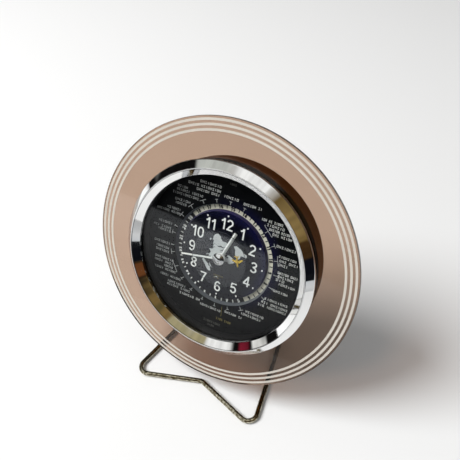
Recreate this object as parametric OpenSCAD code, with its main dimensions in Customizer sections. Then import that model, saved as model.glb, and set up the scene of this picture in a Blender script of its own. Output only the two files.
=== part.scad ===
// World time clock: a round quartz movement behind a clear ringed disc, leaning on a bent wire stand.
// Clock parts are drawn in a face frame: x to the right, y up the dial, z out of it towards the reader,
// with z = 0 on the front of the clear disc. face() leans that frame back and lifts it off the table.

/* [Stance] */
// Angle that the dial leans back from upright
lean = 20; // [14:1:26]
// Height of the dial centre above the table
centre_height = 110.1; // [108:0.5:125]

/* [Clear disc] */
// Radius of the clear disc
disc_r = 100; // [90:1:115]
// Thickness of the clear disc
disc_t = 2; // [1.5:0.1:2.5]
// Distance of each painted stripe from the rim, at mid width
stripe_insets = [9.2, 5.7, 2.3];
// Width of each painted stripe
stripe_w = 1.65; // [0.8:0.05:2.2]
// Depth of the groove that a stripe fills
stripe_depth = 0.3; // [0.1:0.05:0.6]

/* [Bezel and glass] */
// Radius at the widest part of the bezel
bezel_r = 73.3; // [72:0.1:76]
// Radius of the bezel's foot on the disc
bezel_foot_r = 71.7; // [70:0.1:72]
// Radius of the sharp crest of the bezel
crest_r = 67.2; // [65:0.1:69]
// Height of the crest above the disc
crest_z = 9.5; // [7:0.1:11]
// Radius of the opening in the bezel
lip_r = 62.1; // [58:0.1:62.6]
// Height of the bezel's inner edge above the disc
lip_z = 5; // [4:0.1:6]
// Height of the front of the glass above the disc
glass_z = 2.9; // [2.4:0.1:3.5]
// Thickness of the glass
glass_t = 2; // [1.2:0.1:2.2]
// How far the glass reaches under the lip
glass_seat = 1.9; // [1.2:0.1:2]
// Wall of the bezel's skirt, where it passes through the disc
skirt_wall = 2.2; // [1.6:0.1:2.6]

/* [Dials] */
// Depth of the dial faces behind the disc's front
dial_depth = 7.1; // [6.6:0.1:8]
// Thickness of both dials
dial_t = 1.2; // [0.8:0.1:1.5]
// Radius of the window round the day and night ring
window_r = 38.7; // [37:0.1:41]
// Radius of the twelve hour dial
hour_dial_r = 33.3; // [31:0.1:34.5]
// Depth of the day and night ring behind the dial faces
ring_drop = 3; // [2.8:0.1:4]
// Thickness of the day and night ring
ring_t = 1; // [0.6:0.1:1.2]
// Width of the day and night ring hidden under each dial
ring_cover = 3.5; // [2.5:0.1:4.5]
// Radius of the circle of hour dots
dot_circle_r = 31.2; // [28:0.1:31.3]
// Diameter of an hour dot
dot_d = 1.2; // [0.8:0.1:1.6]

/* [Case] */
// Wall of the clamp ring round the bezel's skirt
clamp_wall = 2.4; // [1.8:0.1:2.8]
// How far the barrel narrows towards its rear edge
barrel_taper = 1.6; // [0.4:0.1:2]
// Depth of the barrel's rear edge behind the disc's front
barrel_depth = 23.4; // [23:0.1:26]
// Wall of the barrel at its rear edge
barrel_wall = 2.4; // [1.8:0.1:2.8]
// Thickness of the rear cover
cover_t = 1.8; // [1.4:0.1:2.2]
// Wall of the raised housing round its sides
housing_wall = 1.6; // [1.2:0.1:2]
// Wall of the raised housing across its back
housing_back = 2.4; // [2:0.1:3]
// Corner radius of the raised housing
housing_corner = 6; // [4:0.5:6.5]
// Distance of the case screws from the edge of the rear cover
case_screw_inset = 6.9; // [6.4:0.1:9]
// Diameter of a case screw
case_screw_d = 2.8; // [2:0.1:3.2]

/* [Hands and arbors] */
// Radius of the seconds arbor
seconds_arbor_r = 0.6; // [0.5:0.05:0.65]
// Outer radius of the minute pipe
minute_pipe_r = 1.4; // [1.2:0.05:1.5]
// Outer radius of the hour pipe
hour_pipe_r = 2.2; // [2:0.05:2.4]
// Outer radius of the post that carries the hour dial
post_r = 3.4; // [3.1:0.05:3.8]
// Radial gap of a shaft that turns in a bore
run_gap = 0.05; // [0.02:0.01:0.08]
// Length of the minute hand
minute_hand_l = 30.6; // [24:0.1:36]
// Width of the minute hand at its root
minute_hand_w = 1.5; // [1:0.1:2.5]
// Length of the hour hand
hour_hand_l = 22.8; // [16:0.1:28]
// Width of the hour hand
hour_hand_w = 2.5; // [1.6:0.1:3.5]
// Minutes past the hour that the hands show
shown_minutes = 43; // [0:1:59]
// Hour that the hands show
shown_hour = 12; // [1:1:12]
// Radius of the clear seconds disc
seconds_disc_r = 21; // [19:0.1:24]
// Radius at which the aircraft flies
aircraft_circle_r = 15.2; // [12:0.1:15.5]
// Length of the aircraft
aircraft_l = 8.6; // [6:0.1:9.4]
// Radius of the hub cap
hub_cap_r = 4.6; // [3.6:0.1:5.2]

/* [Gear train] */
// Distance between the centre axis and the minute wheel's axis
train_distance = 16; // [15.9:0.05:16.2]
// Share of a tooth's pitch that is metal at the pitch circle
tooth_share = 0.42; // [0.36:0.01:0.44]
// Thickness of the coarse gear wheels
wheel_t = 1.3; // [1:0.1:1.4]
// Thickness of the fine gear wheels
fine_wheel_t = 0.8; // [0.6:0.1:1]

/* [Battery] */
// Diameter of the battery
battery_d = 14.2; // [13.5:0.1:14.4]
// Length of the battery without its terminal
battery_l = 49.2; // [44:0.1:50.5]
// Thickness of the battery cover
battery_cover_t = 1.1; // [0.8:0.1:1.3]

/* [Wire stand] */
// Diameter of the stand's wire
wire_d = 3.8; // [3.4:0.1:4]
// Half the distance between the two front corners
corner_x = 53.2; // [48:0.5:60]
// Distance of the front corners ahead of the dial centre
corner_ahead = 50.4; // [46:0.5:56]
// How far the middle of the front bends back from the corners
front_dip = 17.7; // [12:0.5:24]
// Half the distance between the two rear uprights
upright_x = 39.1; // [38.6:0.1:41]
// Distance of the rear bends behind the dial centre
rear_bend_back = 35; // [30:0.5:40]
// Height on the dial of the two sockets, below the centre
socket_below = 22; // [14:0.5:30]
// Depth behind the disc's front where the uprights turn into the sockets
turn_depth = 41; // [40:0.5:46]
// Radius of the wire's front corners, at the middle of the wire
corner_bend_r = 7; // [5.5:0.5:8]
// Radius of the wire's rear bends
bend_r = 5; // [4:0.5:6]
// Radius of the bend in the middle of the front
dip_bend_r = 4; // [3:0.5:6]
// Outer radius of a stand socket
socket_r = 3.8; // [3.5:0.1:4]

/* [Hidden] */
$fn = 96;
seat = 0.05;
eps = 0.01;
fit_gap = 0.1;
cut = 1;

// Depths along the face frame, from the glass to the back
glass_back = glass_z - glass_t;
seconds_disc_t = 0.6;
seconds_disc_top = glass_back - 1.8;
minute_hand_top = -1.7;
minute_hand_t = 0.5;
hour_hand_top = -4.5;
hour_hand_t = 0.9;
dial_back = -dial_depth - dial_t;
ring_top = -dial_depth - ring_drop;
dial_skirt_end = ring_top + 0.7;
web_top = ring_top - ring_t - seat;
web_t = 1.1;
ring_wheel_top = web_top - web_t;
ring_wheel_end = ring_wheel_top - wheel_t;
ring_pinion_top = ring_wheel_top - 0.15;
plate_top = ring_wheel_end - 0.4;
plate_t = 1.6;
plate_end = plate_top - plate_t;
hour_wheel_top = plate_end - 0.3;
hour_wheel_end = hour_wheel_top - wheel_t;
cannon_top = hour_wheel_end - 0.6;
minute_wheel_top = cannon_top - 0.2;
minute_wheel_end = minute_wheel_top - wheel_t;
cannon_end = minute_wheel_end - 0.2;
centre_wheel_top = cannon_end - 0.7;
centre_wheel_end = centre_wheel_top - fine_wheel_t;
third_wheel_top = centre_wheel_end - 0.6;
third_wheel_end = third_wheel_top - fine_wheel_t;
seconds_wheel_top = third_wheel_end - 0.8;
seconds_wheel_end = seconds_wheel_top - fine_wheel_t;
step_wheel_top = seconds_wheel_end - 0.9;
step_wheel_end = step_wheel_top - fine_wheel_t;
magnet_top = step_wheel_end - 1.1;
magnet_t = 1.9;
magnet_end = magnet_top - magnet_t;
back_plate_top = magnet_end - 0.9;
back_plate_t = 1.5;
back_plate_end = back_plate_top - back_plate_t;
arbor_end = back_plate_end + 0.2;

// Radii of the case stack
glass_r = lip_r + glass_seat;
skirt_r = bezel_foot_r - 3.1;
skirt_inner_r = skirt_r - skirt_wall;
stack_r = skirt_inner_r - fit_gap;
skirt_end = -dial_depth - 2.9;
stripe_radii = [for (inset = stripe_insets) disc_r - inset];
disc_bore_r = skirt_r + 2 * fit_gap;
clamp_bore_r = skirt_r + fit_gap;
clamp_end = -7;
barrel_r = skirt_r + clamp_wall;
barrel_rear_r = barrel_r - barrel_taper;
barrel_inner_r = barrel_rear_r - barrel_wall;
barrel_end = -barrel_depth;
cover_r = barrel_inner_r - fit_gap;
cover_top = barrel_end + cover_t;
case_screw_circle = cover_r - case_screw_inset;
case_screw_r = case_screw_d / 2;
case_hole_r = case_screw_r + fit_gap;
case_boss_r = case_hole_r + 2;
case_head_r = case_screw_r * 2;
case_head_t = 1.3;
case_thread_l = 4.5;
case_screw_tip = plate_top + case_thread_l;
screw_angles = [45, 135, 225, 315];

// Gears: the coarse train on the centre and minute axes
cannon_teeth = 10;
minute_teeth = 30;
hour_pinion_teeth = 8;
hour_teeth = 32;
ring_pinion_teeth = 8;
ring_teeth = 64;
setting_teeth = 10;
coarse_m = 2 * train_distance / (cannon_teeth + minute_teeth);
hour_m = 2 * train_distance / (hour_pinion_teeth + hour_teeth);
ring_m = 2 * train_distance / (ring_pinion_teeth + ring_teeth);
setting_m = coarse_m;
setting_distance = setting_m * (minute_teeth + setting_teeth) / 2;
minute_axis = [train_distance, 0];
setting_axis = minute_axis + [0, setting_distance];

// Gears: the running train from the rotor to the centre wheel
seconds_teeth = 48;
step_pinion_teeth = 8;
step_teeth = 40;
rotor_teeth = 8;
seconds_pinion_teeth = 8;
third_teeth = 64;
third_pinion_teeth = 8;
centre_teeth = 60;
seconds_m = 0.4;
step_m = 0.4;
third_m = 0.3;
step_distance = seconds_m * (seconds_teeth + step_pinion_teeth) / 2;
rotor_distance = step_m * (step_teeth + rotor_teeth) / 2;
third_distance = third_m * (seconds_pinion_teeth + third_teeth) / 2;
centre_m = 2 * third_distance / (third_pinion_teeth + centre_teeth);
rotor_angle = 140;
step_axis = [0, step_distance];
rotor_axis = step_axis + rotor_distance * [cos(rotor_angle), sin(rotor_angle)];
third_axis = [-third_distance, 0];
pin_r = 0.5;
minute_arbor_r = 1.2;
setting_stem_r = 1.5;
magnet_r = 2.5;
minute_bore_r = seconds_arbor_r + run_gap;
hour_bore_r = minute_pipe_r + run_gap;
post_bore_r = hour_pipe_r + run_gap;
ring_bore_r = post_r + run_gap;
hour_dial_bore_r = hour_pipe_r + 0.4;
spigot_r = post_r - 0.5;
ring_r = window_r + ring_cover + 0.8;
ring_inner_r = hour_dial_r - ring_cover + 0.2;

// Movement housing and battery bay, in the face frame
terminal_l = 1;
contact_room = 1.15;
gear_room = 52.5;
move_mid_x = 3.75;
move_w = max(gear_room, battery_l + terminal_l + 2 * contact_room);
move_lo = [move_mid_x - move_w / 2, -14];
move_hi = [move_mid_x + move_w / 2, 27.5];
move_wall = 1.5;
move_corner = housing_corner - housing_wall;
move_post_inset = 2.7;
bay_clear = 0.5;
bay_hi_y = move_lo.y - move_wall;
bay_lo_y = bay_hi_y - battery_d - 2 * bay_clear;
battery_y = (bay_hi_y + bay_lo_y) / 2;
bay_floor = plate_end - seat - move_wall;
battery_z = bay_floor - battery_d / 2 - seat;
housing_inner = min(back_plate_end - 0.3, battery_z - battery_d / 2 - 0.2);
housing_end = housing_inner - housing_back;
knob_top = housing_end - 0.6;
knob_t = 5;
knob_end = knob_top - knob_t;
contact_t = 0.4;
terminal_r = 2.7;
move_post_r = 2.8;
move_screw_r = 1;
move_hole_r = move_screw_r + fit_gap;
move_head_r = 1.9;
move_head_t = 1.1;
move_head_seat = back_plate_end + move_head_t;
move_screw_l = plate_top - 0.2 - move_head_seat;
move_posts = [for (x = [move_lo.x + move_post_inset, move_hi.x - move_post_inset])
    for (y = [move_lo.y + move_post_inset, move_hi.y - move_post_inset]) [x, y]];
cover_lip = 1.6;
cover_gap = 0.15;
housing_side_room = 2;
housing_top_room = 4;
housing_low_room = 2.8;
housing_half_w = move_hi.x + move_wall + housing_side_room;
housing_lo = [-housing_half_w, bay_lo_y - move_wall - housing_low_room];
housing_hi = [housing_half_w, move_hi.y + move_wall + housing_top_room];
bay_lo = [move_lo.x, bay_lo_y];
bay_hi = [move_hi.x, bay_hi_y];
cover_lo = bay_lo - [cover_lip, cover_lip];
cover_hi = bay_hi + [cover_lip, cover_lip];
coil_r = 2;
coil_cheek_r = coil_r + 0.5;
coil_z = back_plate_top + coil_cheek_r + 0.15;
coil_l = 17;
coil_y = move_hi.y - coil_r - 0.9;
coil_x = 4;
stator_t = 1.2;
stator_top = magnet_top - 0.35;
board_t = 1;

// Hands
minute_angle = -6 * shown_minutes;
hour_angle = -30 * shown_hour - shown_minutes / 2;
seconds_clock_angle = 75;
aircraft_span = 0.98 * aircraft_l;

// Wire stand, in the table frame before the shift that centres the object
// A bend draws the wire slightly thinner, and each straight length laps into its bends
wire_r = wire_d / 2;
bend_thin = 0.02;
socket_bore_r = wire_r + run_gap;
socket_wall = 1.2;
socket_top = plate_end - 0.4;
socket_reach = 7.6;
socket_end = barrel_end - socket_reach;
wire_tip_z = socket_top - socket_wall - 0.3;
wire_front = [0, -corner_ahead + front_dip, wire_r];
wire_corner = [corner_x, -corner_ahead, wire_r];
wire_rear = [upright_x, rear_bend_back, wire_r];
wire_turn = raw_row([upright_x, -socket_below, -turn_depth]);
wire_tip = raw_row([upright_x, -socket_below, wire_tip_z]);

// The object's depth runs from the front bends of the wire to whatever reaches furthest back:
// the rear bends, the setting knob or the top of the barrel's rear edge
knob_r = 7;
knob_chamfer = 0.8;
bend_front = elbow_centre(wire_front, wire_corner, wire_rear, corner_bend_r).y - corner_bend_r
    - wire_r;
bend_back = elbow_centre(wire_corner, wire_rear, wire_turn, bend_r).y + bend_r + wire_r;
knob_back = raw_row([0, setting_axis.y + knob_r - knob_chamfer, knob_end]).y;
case_back = raw_row([0, barrel_rear_r, barrel_end]).y;
y_shift = -(bend_front + max(bend_back, knob_back, case_back)) / 2;

function raw_row(p) = [p.x, p.y * sin(lean) - p.z * cos(lean),
    p.y * cos(lean) + p.z * sin(lean) + centre_height];
function unit(v) = v / norm(v);
function turn_angle(a, b, c) = acos(unit(b - a) * unit(c - b));
function elbow_reach(a, b, c, r) = r * tan(turn_angle(a, b, c) / 2);
function inward(a, b, c) = unit(unit(c - b) - (unit(b - a) * unit(c - b)) * unit(b - a));
function elbow_centre(a, b, c, r) = b - elbow_reach(a, b, c, r) * unit(b - a) + r * inward(a, b, c);

// Angle of a gap-centred tooth pattern that meshes with a gear of n1 teeth at phase p1, seen along beta
function mesh_phase(beta, n1, p1, n2) = beta + 180 - (0.5 - (beta - p1) * n1 / 360) * 360 / n2;
function pitch_r(teeth, m) = teeth * m / 2;
function tooth_point(r, a) = [r * cos(a), r * sin(a)];
function gear_points(teeth, m) = let (
        pitch = 360 / teeth,
        rp = pitch_r(teeth, m),
        half = pitch * tooth_share / 2)
    [for (i = [0 : teeth - 1])
        for (q = [[rp - 1.15 * m, -1.35], [rp, -1], [rp + 0.9 * m, -0.45],
                  [rp + 0.9 * m, 0.45], [rp, 1], [rp - 1.15 * m, 1.35]])
            tooth_point(q[0], i * pitch + q[1] * half)];

module face() {
    translate([0, y_shift, centre_height])
        rotate([90 - lean, 0, 0])
            children();
}

// A disc or ring between two depths
module ring(outer, inner, top, end) {
    translate([0, 0, end])
        difference() {
            cylinder(r = outer, h = top - end);
            if (inner > 0)
                translate([0, 0, -1])
                    cylinder(r = inner, h = top - end + 2);
        }
}

module at(p) {
    translate([p[0], p[1], 0])
        children();
}

module gear(teeth, m, phase, bore, top, end) {
    translate([0, 0, end])
        difference() {
            rotate([0, 0, phase])
                linear_extrude(top - end)
                    polygon(gear_points(teeth, m));
            if (bore > 0)
                translate([0, 0, -1])
                    cylinder(r = bore, h = top - end + 2);
        }
}

module rounded_rect(lo, hi, r) {
    translate([lo[0] + r, lo[1]])
        square([hi[0] - lo[0] - 2 * r, hi[1] - lo[1]]);
    translate([lo[0], lo[1] + r])
        square([hi[0] - lo[0], hi[1] - lo[1] - 2 * r]);
    for (x = [lo[0] + r, hi[0] - r])
        for (y = [lo[1] + r, hi[1] - r])
            translate([x, y])
                circle(r);
}

// Gear phases at rest, each set against its neighbour
cannon_phase = 0;
minute_phase = mesh_phase(0, cannon_teeth, cannon_phase, minute_teeth);
hour_pinion_phase = 0;
hour_phase = mesh_phase(180, hour_pinion_teeth, hour_pinion_phase, hour_teeth);
ring_pinion_phase = 0;
ring_phase = mesh_phase(180, ring_pinion_teeth, ring_pinion_phase, ring_teeth);
setting_phase = mesh_phase(90, minute_teeth, minute_phase, setting_teeth);
seconds_phase = 0;
step_pinion_phase = mesh_phase(90, seconds_teeth, seconds_phase, step_pinion_teeth);
step_phase = 0;
rotor_phase = mesh_phase(rotor_angle, step_teeth, step_phase, rotor_teeth);
seconds_pinion_phase = 0;
third_phase = mesh_phase(180, seconds_pinion_teeth, seconds_pinion_phase, third_teeth);
third_pinion_phase = 0;
centre_phase = mesh_phase(0, third_pinion_teeth, third_pinion_phase, centre_teeth);

// Clear disc with three grooves for its stripes and a softened rim
module acrylic_disc() {
    soften = 0.3;
    color([0.72, 0.6, 0.55, 0.6])
        face()
            difference() {
                rotate_extrude($fn = 180)
                    polygon([[disc_bore_r, -disc_t], [disc_r - soften, -disc_t], [disc_r, -disc_t + soften],
                        [disc_r, -soften], [disc_r - soften, 0], [disc_bore_r, 0]]);
                for (r = stripe_radii)
                    ring(r + stripe_w / 2, r - stripe_w / 2, 1, -stripe_depth);
            }
}

module disc_stripes() {
    color("white")
        face()
            for (r = stripe_radii)
                ring(r + stripe_w / 2 - eps, r - stripe_w / 2 + eps, 0, -stripe_depth + eps);
}

// Chrome bezel: rounded flank, sharp crest, straight slope down to the glass, skirt through the disc
module bezel() {
    flank_steps = 7;
    bulge_z = 0.3 * crest_z;
    flank = [for (i = [0 : flank_steps])
        let (a = 90 * i / flank_steps)
            [crest_r + (bezel_r - crest_r) * sin(a), bulge_z + (crest_z - bulge_z) * cos(a)]];
    foot = [[bezel_r, 0.16 * crest_z], [bezel_foot_r, 0], [skirt_r, 0], [skirt_r, skirt_end]];
    bore = [[skirt_inner_r, skirt_end], [skirt_inner_r, glass_back], [glass_r + seat, glass_back],
        [glass_r + seat, glass_z + seat], [lip_r, glass_z + seat], [lip_r, lip_z]];
    color([0.85, 0.86, 0.88])
        face()
            rotate_extrude($fn = 180)
                polygon(concat(flank, foot, bore));
}

module crystal() {
    soften = 0.2;
    color([0.8, 0.85, 0.9, 0.3])
        face()
            rotate_extrude($fn = 180)
                polygon([[0, glass_back], [glass_r, glass_back], [glass_r, glass_z - soften],
                    [glass_r - soften, glass_z], [0, glass_z]]);
}

// Black ring between the glass and the outer dial
module rehaut_ring() {
    color([0.06, 0.06, 0.07])
        face()
            ring(stack_r, lip_r, glass_back - seat, -dial_depth + seat);
}

// Outer dial with a short skirt round its window
module zone_dial() {
    skirt = 1.2;
    color([0.05, 0.05, 0.07])
        face() {
            ring(stack_r, window_r, -dial_depth, dial_back);
            ring(window_r + skirt, window_r, -dial_depth, dial_skirt_end);
        }
}

// Twelve hour dial, a shallow cup on its post
module hour_dial() {
    skirt = 1.2;
    color([0.08, 0.08, 0.16])
        face() {
            ring(hour_dial_r, hour_dial_bore_r, -dial_depth, dial_back);
            ring(hour_dial_r, hour_dial_r - skirt, -dial_depth, dial_skirt_end);
        }
}

module hour_dots() {
    dot_h = 0.25;
    color("white")
        face()
            for (i = [0 : 11])
                rotate([0, 0, 30 * i])
                    translate([dot_circle_r, 0, -dial_depth])
                        cylinder(d = dot_d, h = dot_h, $fn = 24);
}

// Fixed post that carries the hour dial and on which the ring wheel turns
module dial_post() {
    flange_r = 9;
    flange_t = 1;
    color([0.2, 0.2, 0.22])
        face() {
            ring(flange_r, post_bore_r, dial_back - seat, dial_back - seat - flange_t);
            ring(post_r, post_bore_r, dial_back - seat - flange_t, plate_top);
            ring(spigot_r, post_bore_r, plate_top, plate_end);
        }
}

// Plate and rim that hold the dials, the post and the movement
module dial_frame() {
    rim_wall = 3.8;
    color([0.12, 0.12, 0.13])
        face()
            difference() {
                union() {
                    ring(stack_r, 0, plate_top, plate_end);
                    ring(stack_r, stack_r - rim_wall, dial_back - seat, plate_top);
                    for (a = screw_angles)
                        rotate([0, 0, a])
                            translate([case_screw_circle, 0, 0])
                                ring(case_boss_r, 0, case_screw_tip + 1, plate_top);
                }
                ring(spigot_r + eps, 0, plate_top + 1, plate_end - 1);
                at(minute_axis)
                    ring(minute_arbor_r + run_gap, 0, plate_top + 1, plate_end - 1);
                for (a = screw_angles)
                    rotate([0, 0, a])
                        translate([case_screw_circle, 0, 0])
                            ring(case_hole_r, 0, case_screw_tip + 0.3, plate_end - 1);
                for (p = move_posts)
                    at(p)
                        ring(move_hole_r, 0, plate_top + 1, plate_end - 1);
            }
}

// Black ring that traps the clear disc against the bezel's foot
module clamp_ring() {
    color([0.05, 0.05, 0.05])
        face()
            ring(barrel_r, clamp_bore_r, -disc_t - seat, clamp_end);
}

// Tapered barrel with four screw lugs
module case_barrel() {
    step_z = skirt_end - fit_gap;
    front = clamp_end - seat;
    lug_top = plate_end - seat;
    lug_end = cover_top + seat;
    lug_w = 3;
    color([0.28, 0.17, 0.08])
        face()
            difference() {
                union() {
                    rotate_extrude($fn = 180)
                        polygon([[clamp_bore_r, front], [barrel_r, front],
                            [barrel_rear_r, barrel_end], [barrel_inner_r, barrel_end],
                            [barrel_inner_r, step_z], [clamp_bore_r, step_z]]);
                    for (a = screw_angles)
                        rotate([0, 0, a]) {
                            translate([case_screw_circle, 0, 0])
                                ring(case_boss_r, 0, lug_top, lug_end);
                            translate([case_screw_circle, -lug_w / 2, lug_end])
                                cube([barrel_inner_r + 0.5 - case_screw_circle, lug_w, lug_top - lug_end]);
                        }
                }
                for (a = screw_angles)
                    rotate([0, 0, a])
                        translate([case_screw_circle, 0, 0])
                            ring(case_hole_r, 0, lug_top + 1, lug_end - 1);
            }
}

// Rear cover: round plate, raised housing over the movement, battery opening and the two stand sockets
module rear_cover() {
    wall = [housing_wall, housing_wall];
    vent_w = 1.6;
    vent_l = 16;
    vent_x = -16;
    vent_y = 4;
    vent_pitch = 4;
    vent_count = 5;
    color([0.1, 0.1, 0.11])
        face()
            difference() {
                union() {
                    ring(cover_r, 0, cover_top, barrel_end);
                    translate([0, 0, housing_end])
                        linear_extrude(cover_top - housing_end)
                            rounded_rect(housing_lo, housing_hi, housing_corner);
                    for (x = [-upright_x, upright_x])
                        at([x, -socket_below])
                            ring(socket_r, 0, socket_top, socket_end);
                }
                translate([0, 0, housing_inner])
                    linear_extrude(cover_top + 1 - housing_inner)
                        rounded_rect(housing_lo + wall, housing_hi - wall, housing_corner - housing_wall);
                translate([0, 0, housing_end - 1])
                    linear_extrude(housing_back + 2)
                        rounded_rect(bay_lo, bay_hi, 1);
                translate([0, 0, housing_end - 1])
                    linear_extrude(battery_cover_t + 1 + seat)
                        rounded_rect(cover_lo, cover_hi, 2);
                at(setting_axis)
                    ring(setting_stem_r + 0.4, 0, housing_inner + 1, housing_end - 1);
                for (x = [-upright_x, upright_x])
                    at([x, -socket_below])
                        ring(socket_bore_r, 0, socket_top - socket_wall, socket_end - 1);
                for (a = screw_angles)
                    rotate([0, 0, a])
                        translate([case_screw_circle, 0, 0])
                            ring(case_hole_r, 0, cover_top + 1, barrel_end - 1);
                for (i = [0 : vent_count - 1])
                    translate([vent_x, vent_y + vent_pitch * i, housing_end - cut])
                        cube([vent_l, vent_w, housing_back + 2]);
            }
}

// Pan head screw with a cross recess, head at z = 0 pointing to -z, shank to +z
module screw(r, head_r, head_t, length) {
    slot_w = 0.5 * r;
    difference() {
        union() {
            translate([0, 0, -head_t])
                cylinder(r = head_r, h = head_t, $fn = 32);
            cylinder(r = r, h = length, $fn = 32);
        }
        for (a = [0, 90])
            rotate([0, 0, a])
                translate([-0.7 * head_r, -slot_w / 2, -head_t - 1])
                    cube([1.4 * head_r, slot_w, 1 + 0.6 * head_t]);
    }
}

module case_screws() {
    color("silver")
        face()
            for (a = screw_angles)
                rotate([0, 0, a])
                    translate([case_screw_circle, 0, barrel_end])
                        screw(case_screw_r, case_head_r, case_head_t, case_screw_tip - barrel_end);
}

// Rear half of the movement: tray with pins for the wheels, screw posts and the open battery bay
module movement_cover() {
    wall = [move_wall, move_wall];
    front = plate_end - seat;
    color([0.9, 0.9, 0.86])
        face()
            difference() {
                union() {
                    difference() {
                        translate([0, 0, back_plate_end])
                            linear_extrude(front - back_plate_end)
                                rounded_rect(move_lo - wall, move_hi + wall, move_corner);
                        translate([0, 0, back_plate_top])
                            linear_extrude(front + 1 - back_plate_top)
                                rounded_rect(move_lo, move_hi, move_corner - move_wall);
                    }
                    difference() {
                        translate([0, 0, back_plate_end])
                            linear_extrude(front - back_plate_end)
                                rounded_rect(bay_lo - wall, [bay_hi.x + move_wall, 0], move_corner);
                        translate([0, 0, back_plate_end - 1])
                            linear_extrude(bay_floor + 1 - back_plate_end)
                                rounded_rect(bay_lo, bay_hi, move_corner - move_wall);
                        translate([0, 0, back_plate_top])
                            linear_extrude(front + 1 - back_plate_top)
                                rounded_rect(move_lo, move_hi, move_corner - move_wall);
                    }
                    for (p = move_posts)
                        at(p)
                            ring(move_post_r, 0, front, back_plate_end);
                    at(third_axis)
                        ring(pin_r, 0, centre_wheel_top, back_plate_top - eps);
                    at(step_axis)
                        ring(pin_r, 0, seconds_wheel_top + 0.2, back_plate_top - eps);
                    at(rotor_axis)
                        ring(pin_r, 0, step_wheel_top + 0.2, back_plate_top - eps);
                }
                for (p = move_posts)
                    at(p) {
                        ring(move_hole_r, 0, front + 1, back_plate_end - 1);
                        ring(move_head_r + fit_gap, 0, move_head_seat + fit_gap, back_plate_end - cut);
                    }
                ring(seconds_arbor_r + run_gap, 0, back_plate_top + 1, back_plate_end - 1);
                at(minute_axis)
                    ring(minute_arbor_r + run_gap, 0, back_plate_top + 1, back_plate_end - 1);
                at(setting_axis)
                    ring(setting_stem_r + run_gap, 0, back_plate_top + 1, back_plate_end - 1);
            }
}

module movement_screws() {
    color("silver")
        face()
            for (p = move_posts)
                translate([p[0], p[1], move_head_seat])
                    screw(move_screw_r, move_head_r, move_head_t, move_screw_l);
}

// Stator plate with its hole round the magnet and two arms into the coil
module stator() {
    hole_r = magnet_r + 0.4;
    arm_w = 3;
    eye_r = hole_r + 1.6;
    arm_x = rotor_axis.x - 3.2 - arm_w / 2;
    arm_end = coil_x - coil_l / 2 - seat;
    color([0.6, 0.6, 0.62])
        face()
            translate([0, 0, stator_top - stator_t])
                linear_extrude(stator_t)
                    difference() {
                        union() {
                            translate(rotor_axis)
                                circle(eye_r);
                            translate([arm_x, rotor_axis.y])
                                square([arm_w, coil_y + arm_w / 2 - rotor_axis.y]);
                            translate([arm_x, coil_y - arm_w / 2])
                                square([arm_end - arm_x, arm_w]);
                        }
                        translate(rotor_axis)
                            circle(hole_r);
                    }
}

// Wound coil on its bobbin
module coil() {
    cheek_t = 0.8;
    color([0.72, 0.38, 0.16])
        face()
            translate([coil_x - coil_l / 2, coil_y, coil_z])
                rotate([0, 90, 0]) {
                    cylinder(r = coil_cheek_r, h = cheek_t);
                    cylinder(r = coil_r, h = coil_l);
                    translate([0, 0, coil_l - cheek_t])
                        cylinder(r = coil_cheek_r, h = cheek_t);
                }
}

// Small circuit board with its sealed chip
module circuit_board() {
    board = [9.5, 18];
    chip_r = 2.6;
    chip_t = 0.7;
    part = [6, 2.2, 1.6];
    part_inset = 1.4;
    color([0.1, 0.35, 0.18])
        face()
            translate([move_lo.x + 0.4, move_posts[0].y + move_post_r + 0.6, back_plate_top + seat]) {
                cube([board.x, board.y, board_t]);
                translate([board.x / 2, board.y / 2, board_t])
                    cylinder(r = chip_r, h = chip_t);
                translate([part_inset, part_inset, board_t])
                    cube(part);
            }
}

module battery() {
    color([0.16, 0.17, 0.2])
        face()
            translate([move_mid_x - battery_l / 2 - terminal_l / 2, battery_y, battery_z])
                rotate([0, 90, 0]) {
                    cylinder(d = battery_d, h = battery_l);
                    cylinder(r = terminal_r, h = battery_l + terminal_l);
                }
}

// Contact leaf at each end of the bay, with a pressed bump against the battery
module battery_contacts() {
    leaf_w = 10;
    leaf_h = 12;
    bump_r = 2;
    cell_lo = move_mid_x - battery_l / 2 - terminal_l / 2;
    cell_hi = cell_lo + battery_l + terminal_l;
    color([0.8, 0.8, 0.78])
        face()
            translate([0, battery_y - leaf_w / 2, battery_z - leaf_h / 2]) {
                translate([move_lo.x + seat, 0, 0])
                    cube([contact_t, leaf_w, leaf_h]);
                translate([move_lo.x + contact_t, leaf_w / 2, leaf_h / 2])
                    rotate([0, 90, 0])
                        cylinder(r = bump_r, h = cell_lo - seat - move_lo.x - contact_t);
                translate([move_hi.x - seat - contact_t, 0, 0])
                    cube([contact_t, leaf_w, leaf_h]);
                translate([cell_hi + seat, leaf_w / 2, leaf_h / 2])
                    rotate([0, 90, 0])
                        cylinder(r = bump_r, h = move_hi.x - contact_t - cell_hi - seat);
            }
}

// Lift-off battery cover with a finger groove and a locating lip
module battery_cover() {
    play = [cover_gap, cover_gap];
    lip_inset = [0.4, 0.4];
    groove_r = 6;
    groove_l = 12;
    groove_depth = 0.5;
    groove_inset = 9;
    lip_t = 0.5;
    color([0.1, 0.1, 0.11])
        face()
            difference() {
                union() {
                    translate([0, 0, housing_end])
                        linear_extrude(battery_cover_t)
                            rounded_rect(cover_lo + play, cover_hi - play, 2);
                    translate([0, 0, housing_end + battery_cover_t])
                        linear_extrude(lip_t)
                            difference() {
                                rounded_rect(bay_lo + lip_inset, bay_hi - lip_inset, 1);
                                rounded_rect(bay_lo + 3 * lip_inset, bay_hi - 3 * lip_inset, 0.8);
                            }
                }
                translate([cover_hi.x - groove_inset, battery_y, housing_end - groove_r + groove_depth])
                    rotate([90, 0, 0])
                        cylinder(r = groove_r, h = groove_l, center = true);
            }
}

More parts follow.
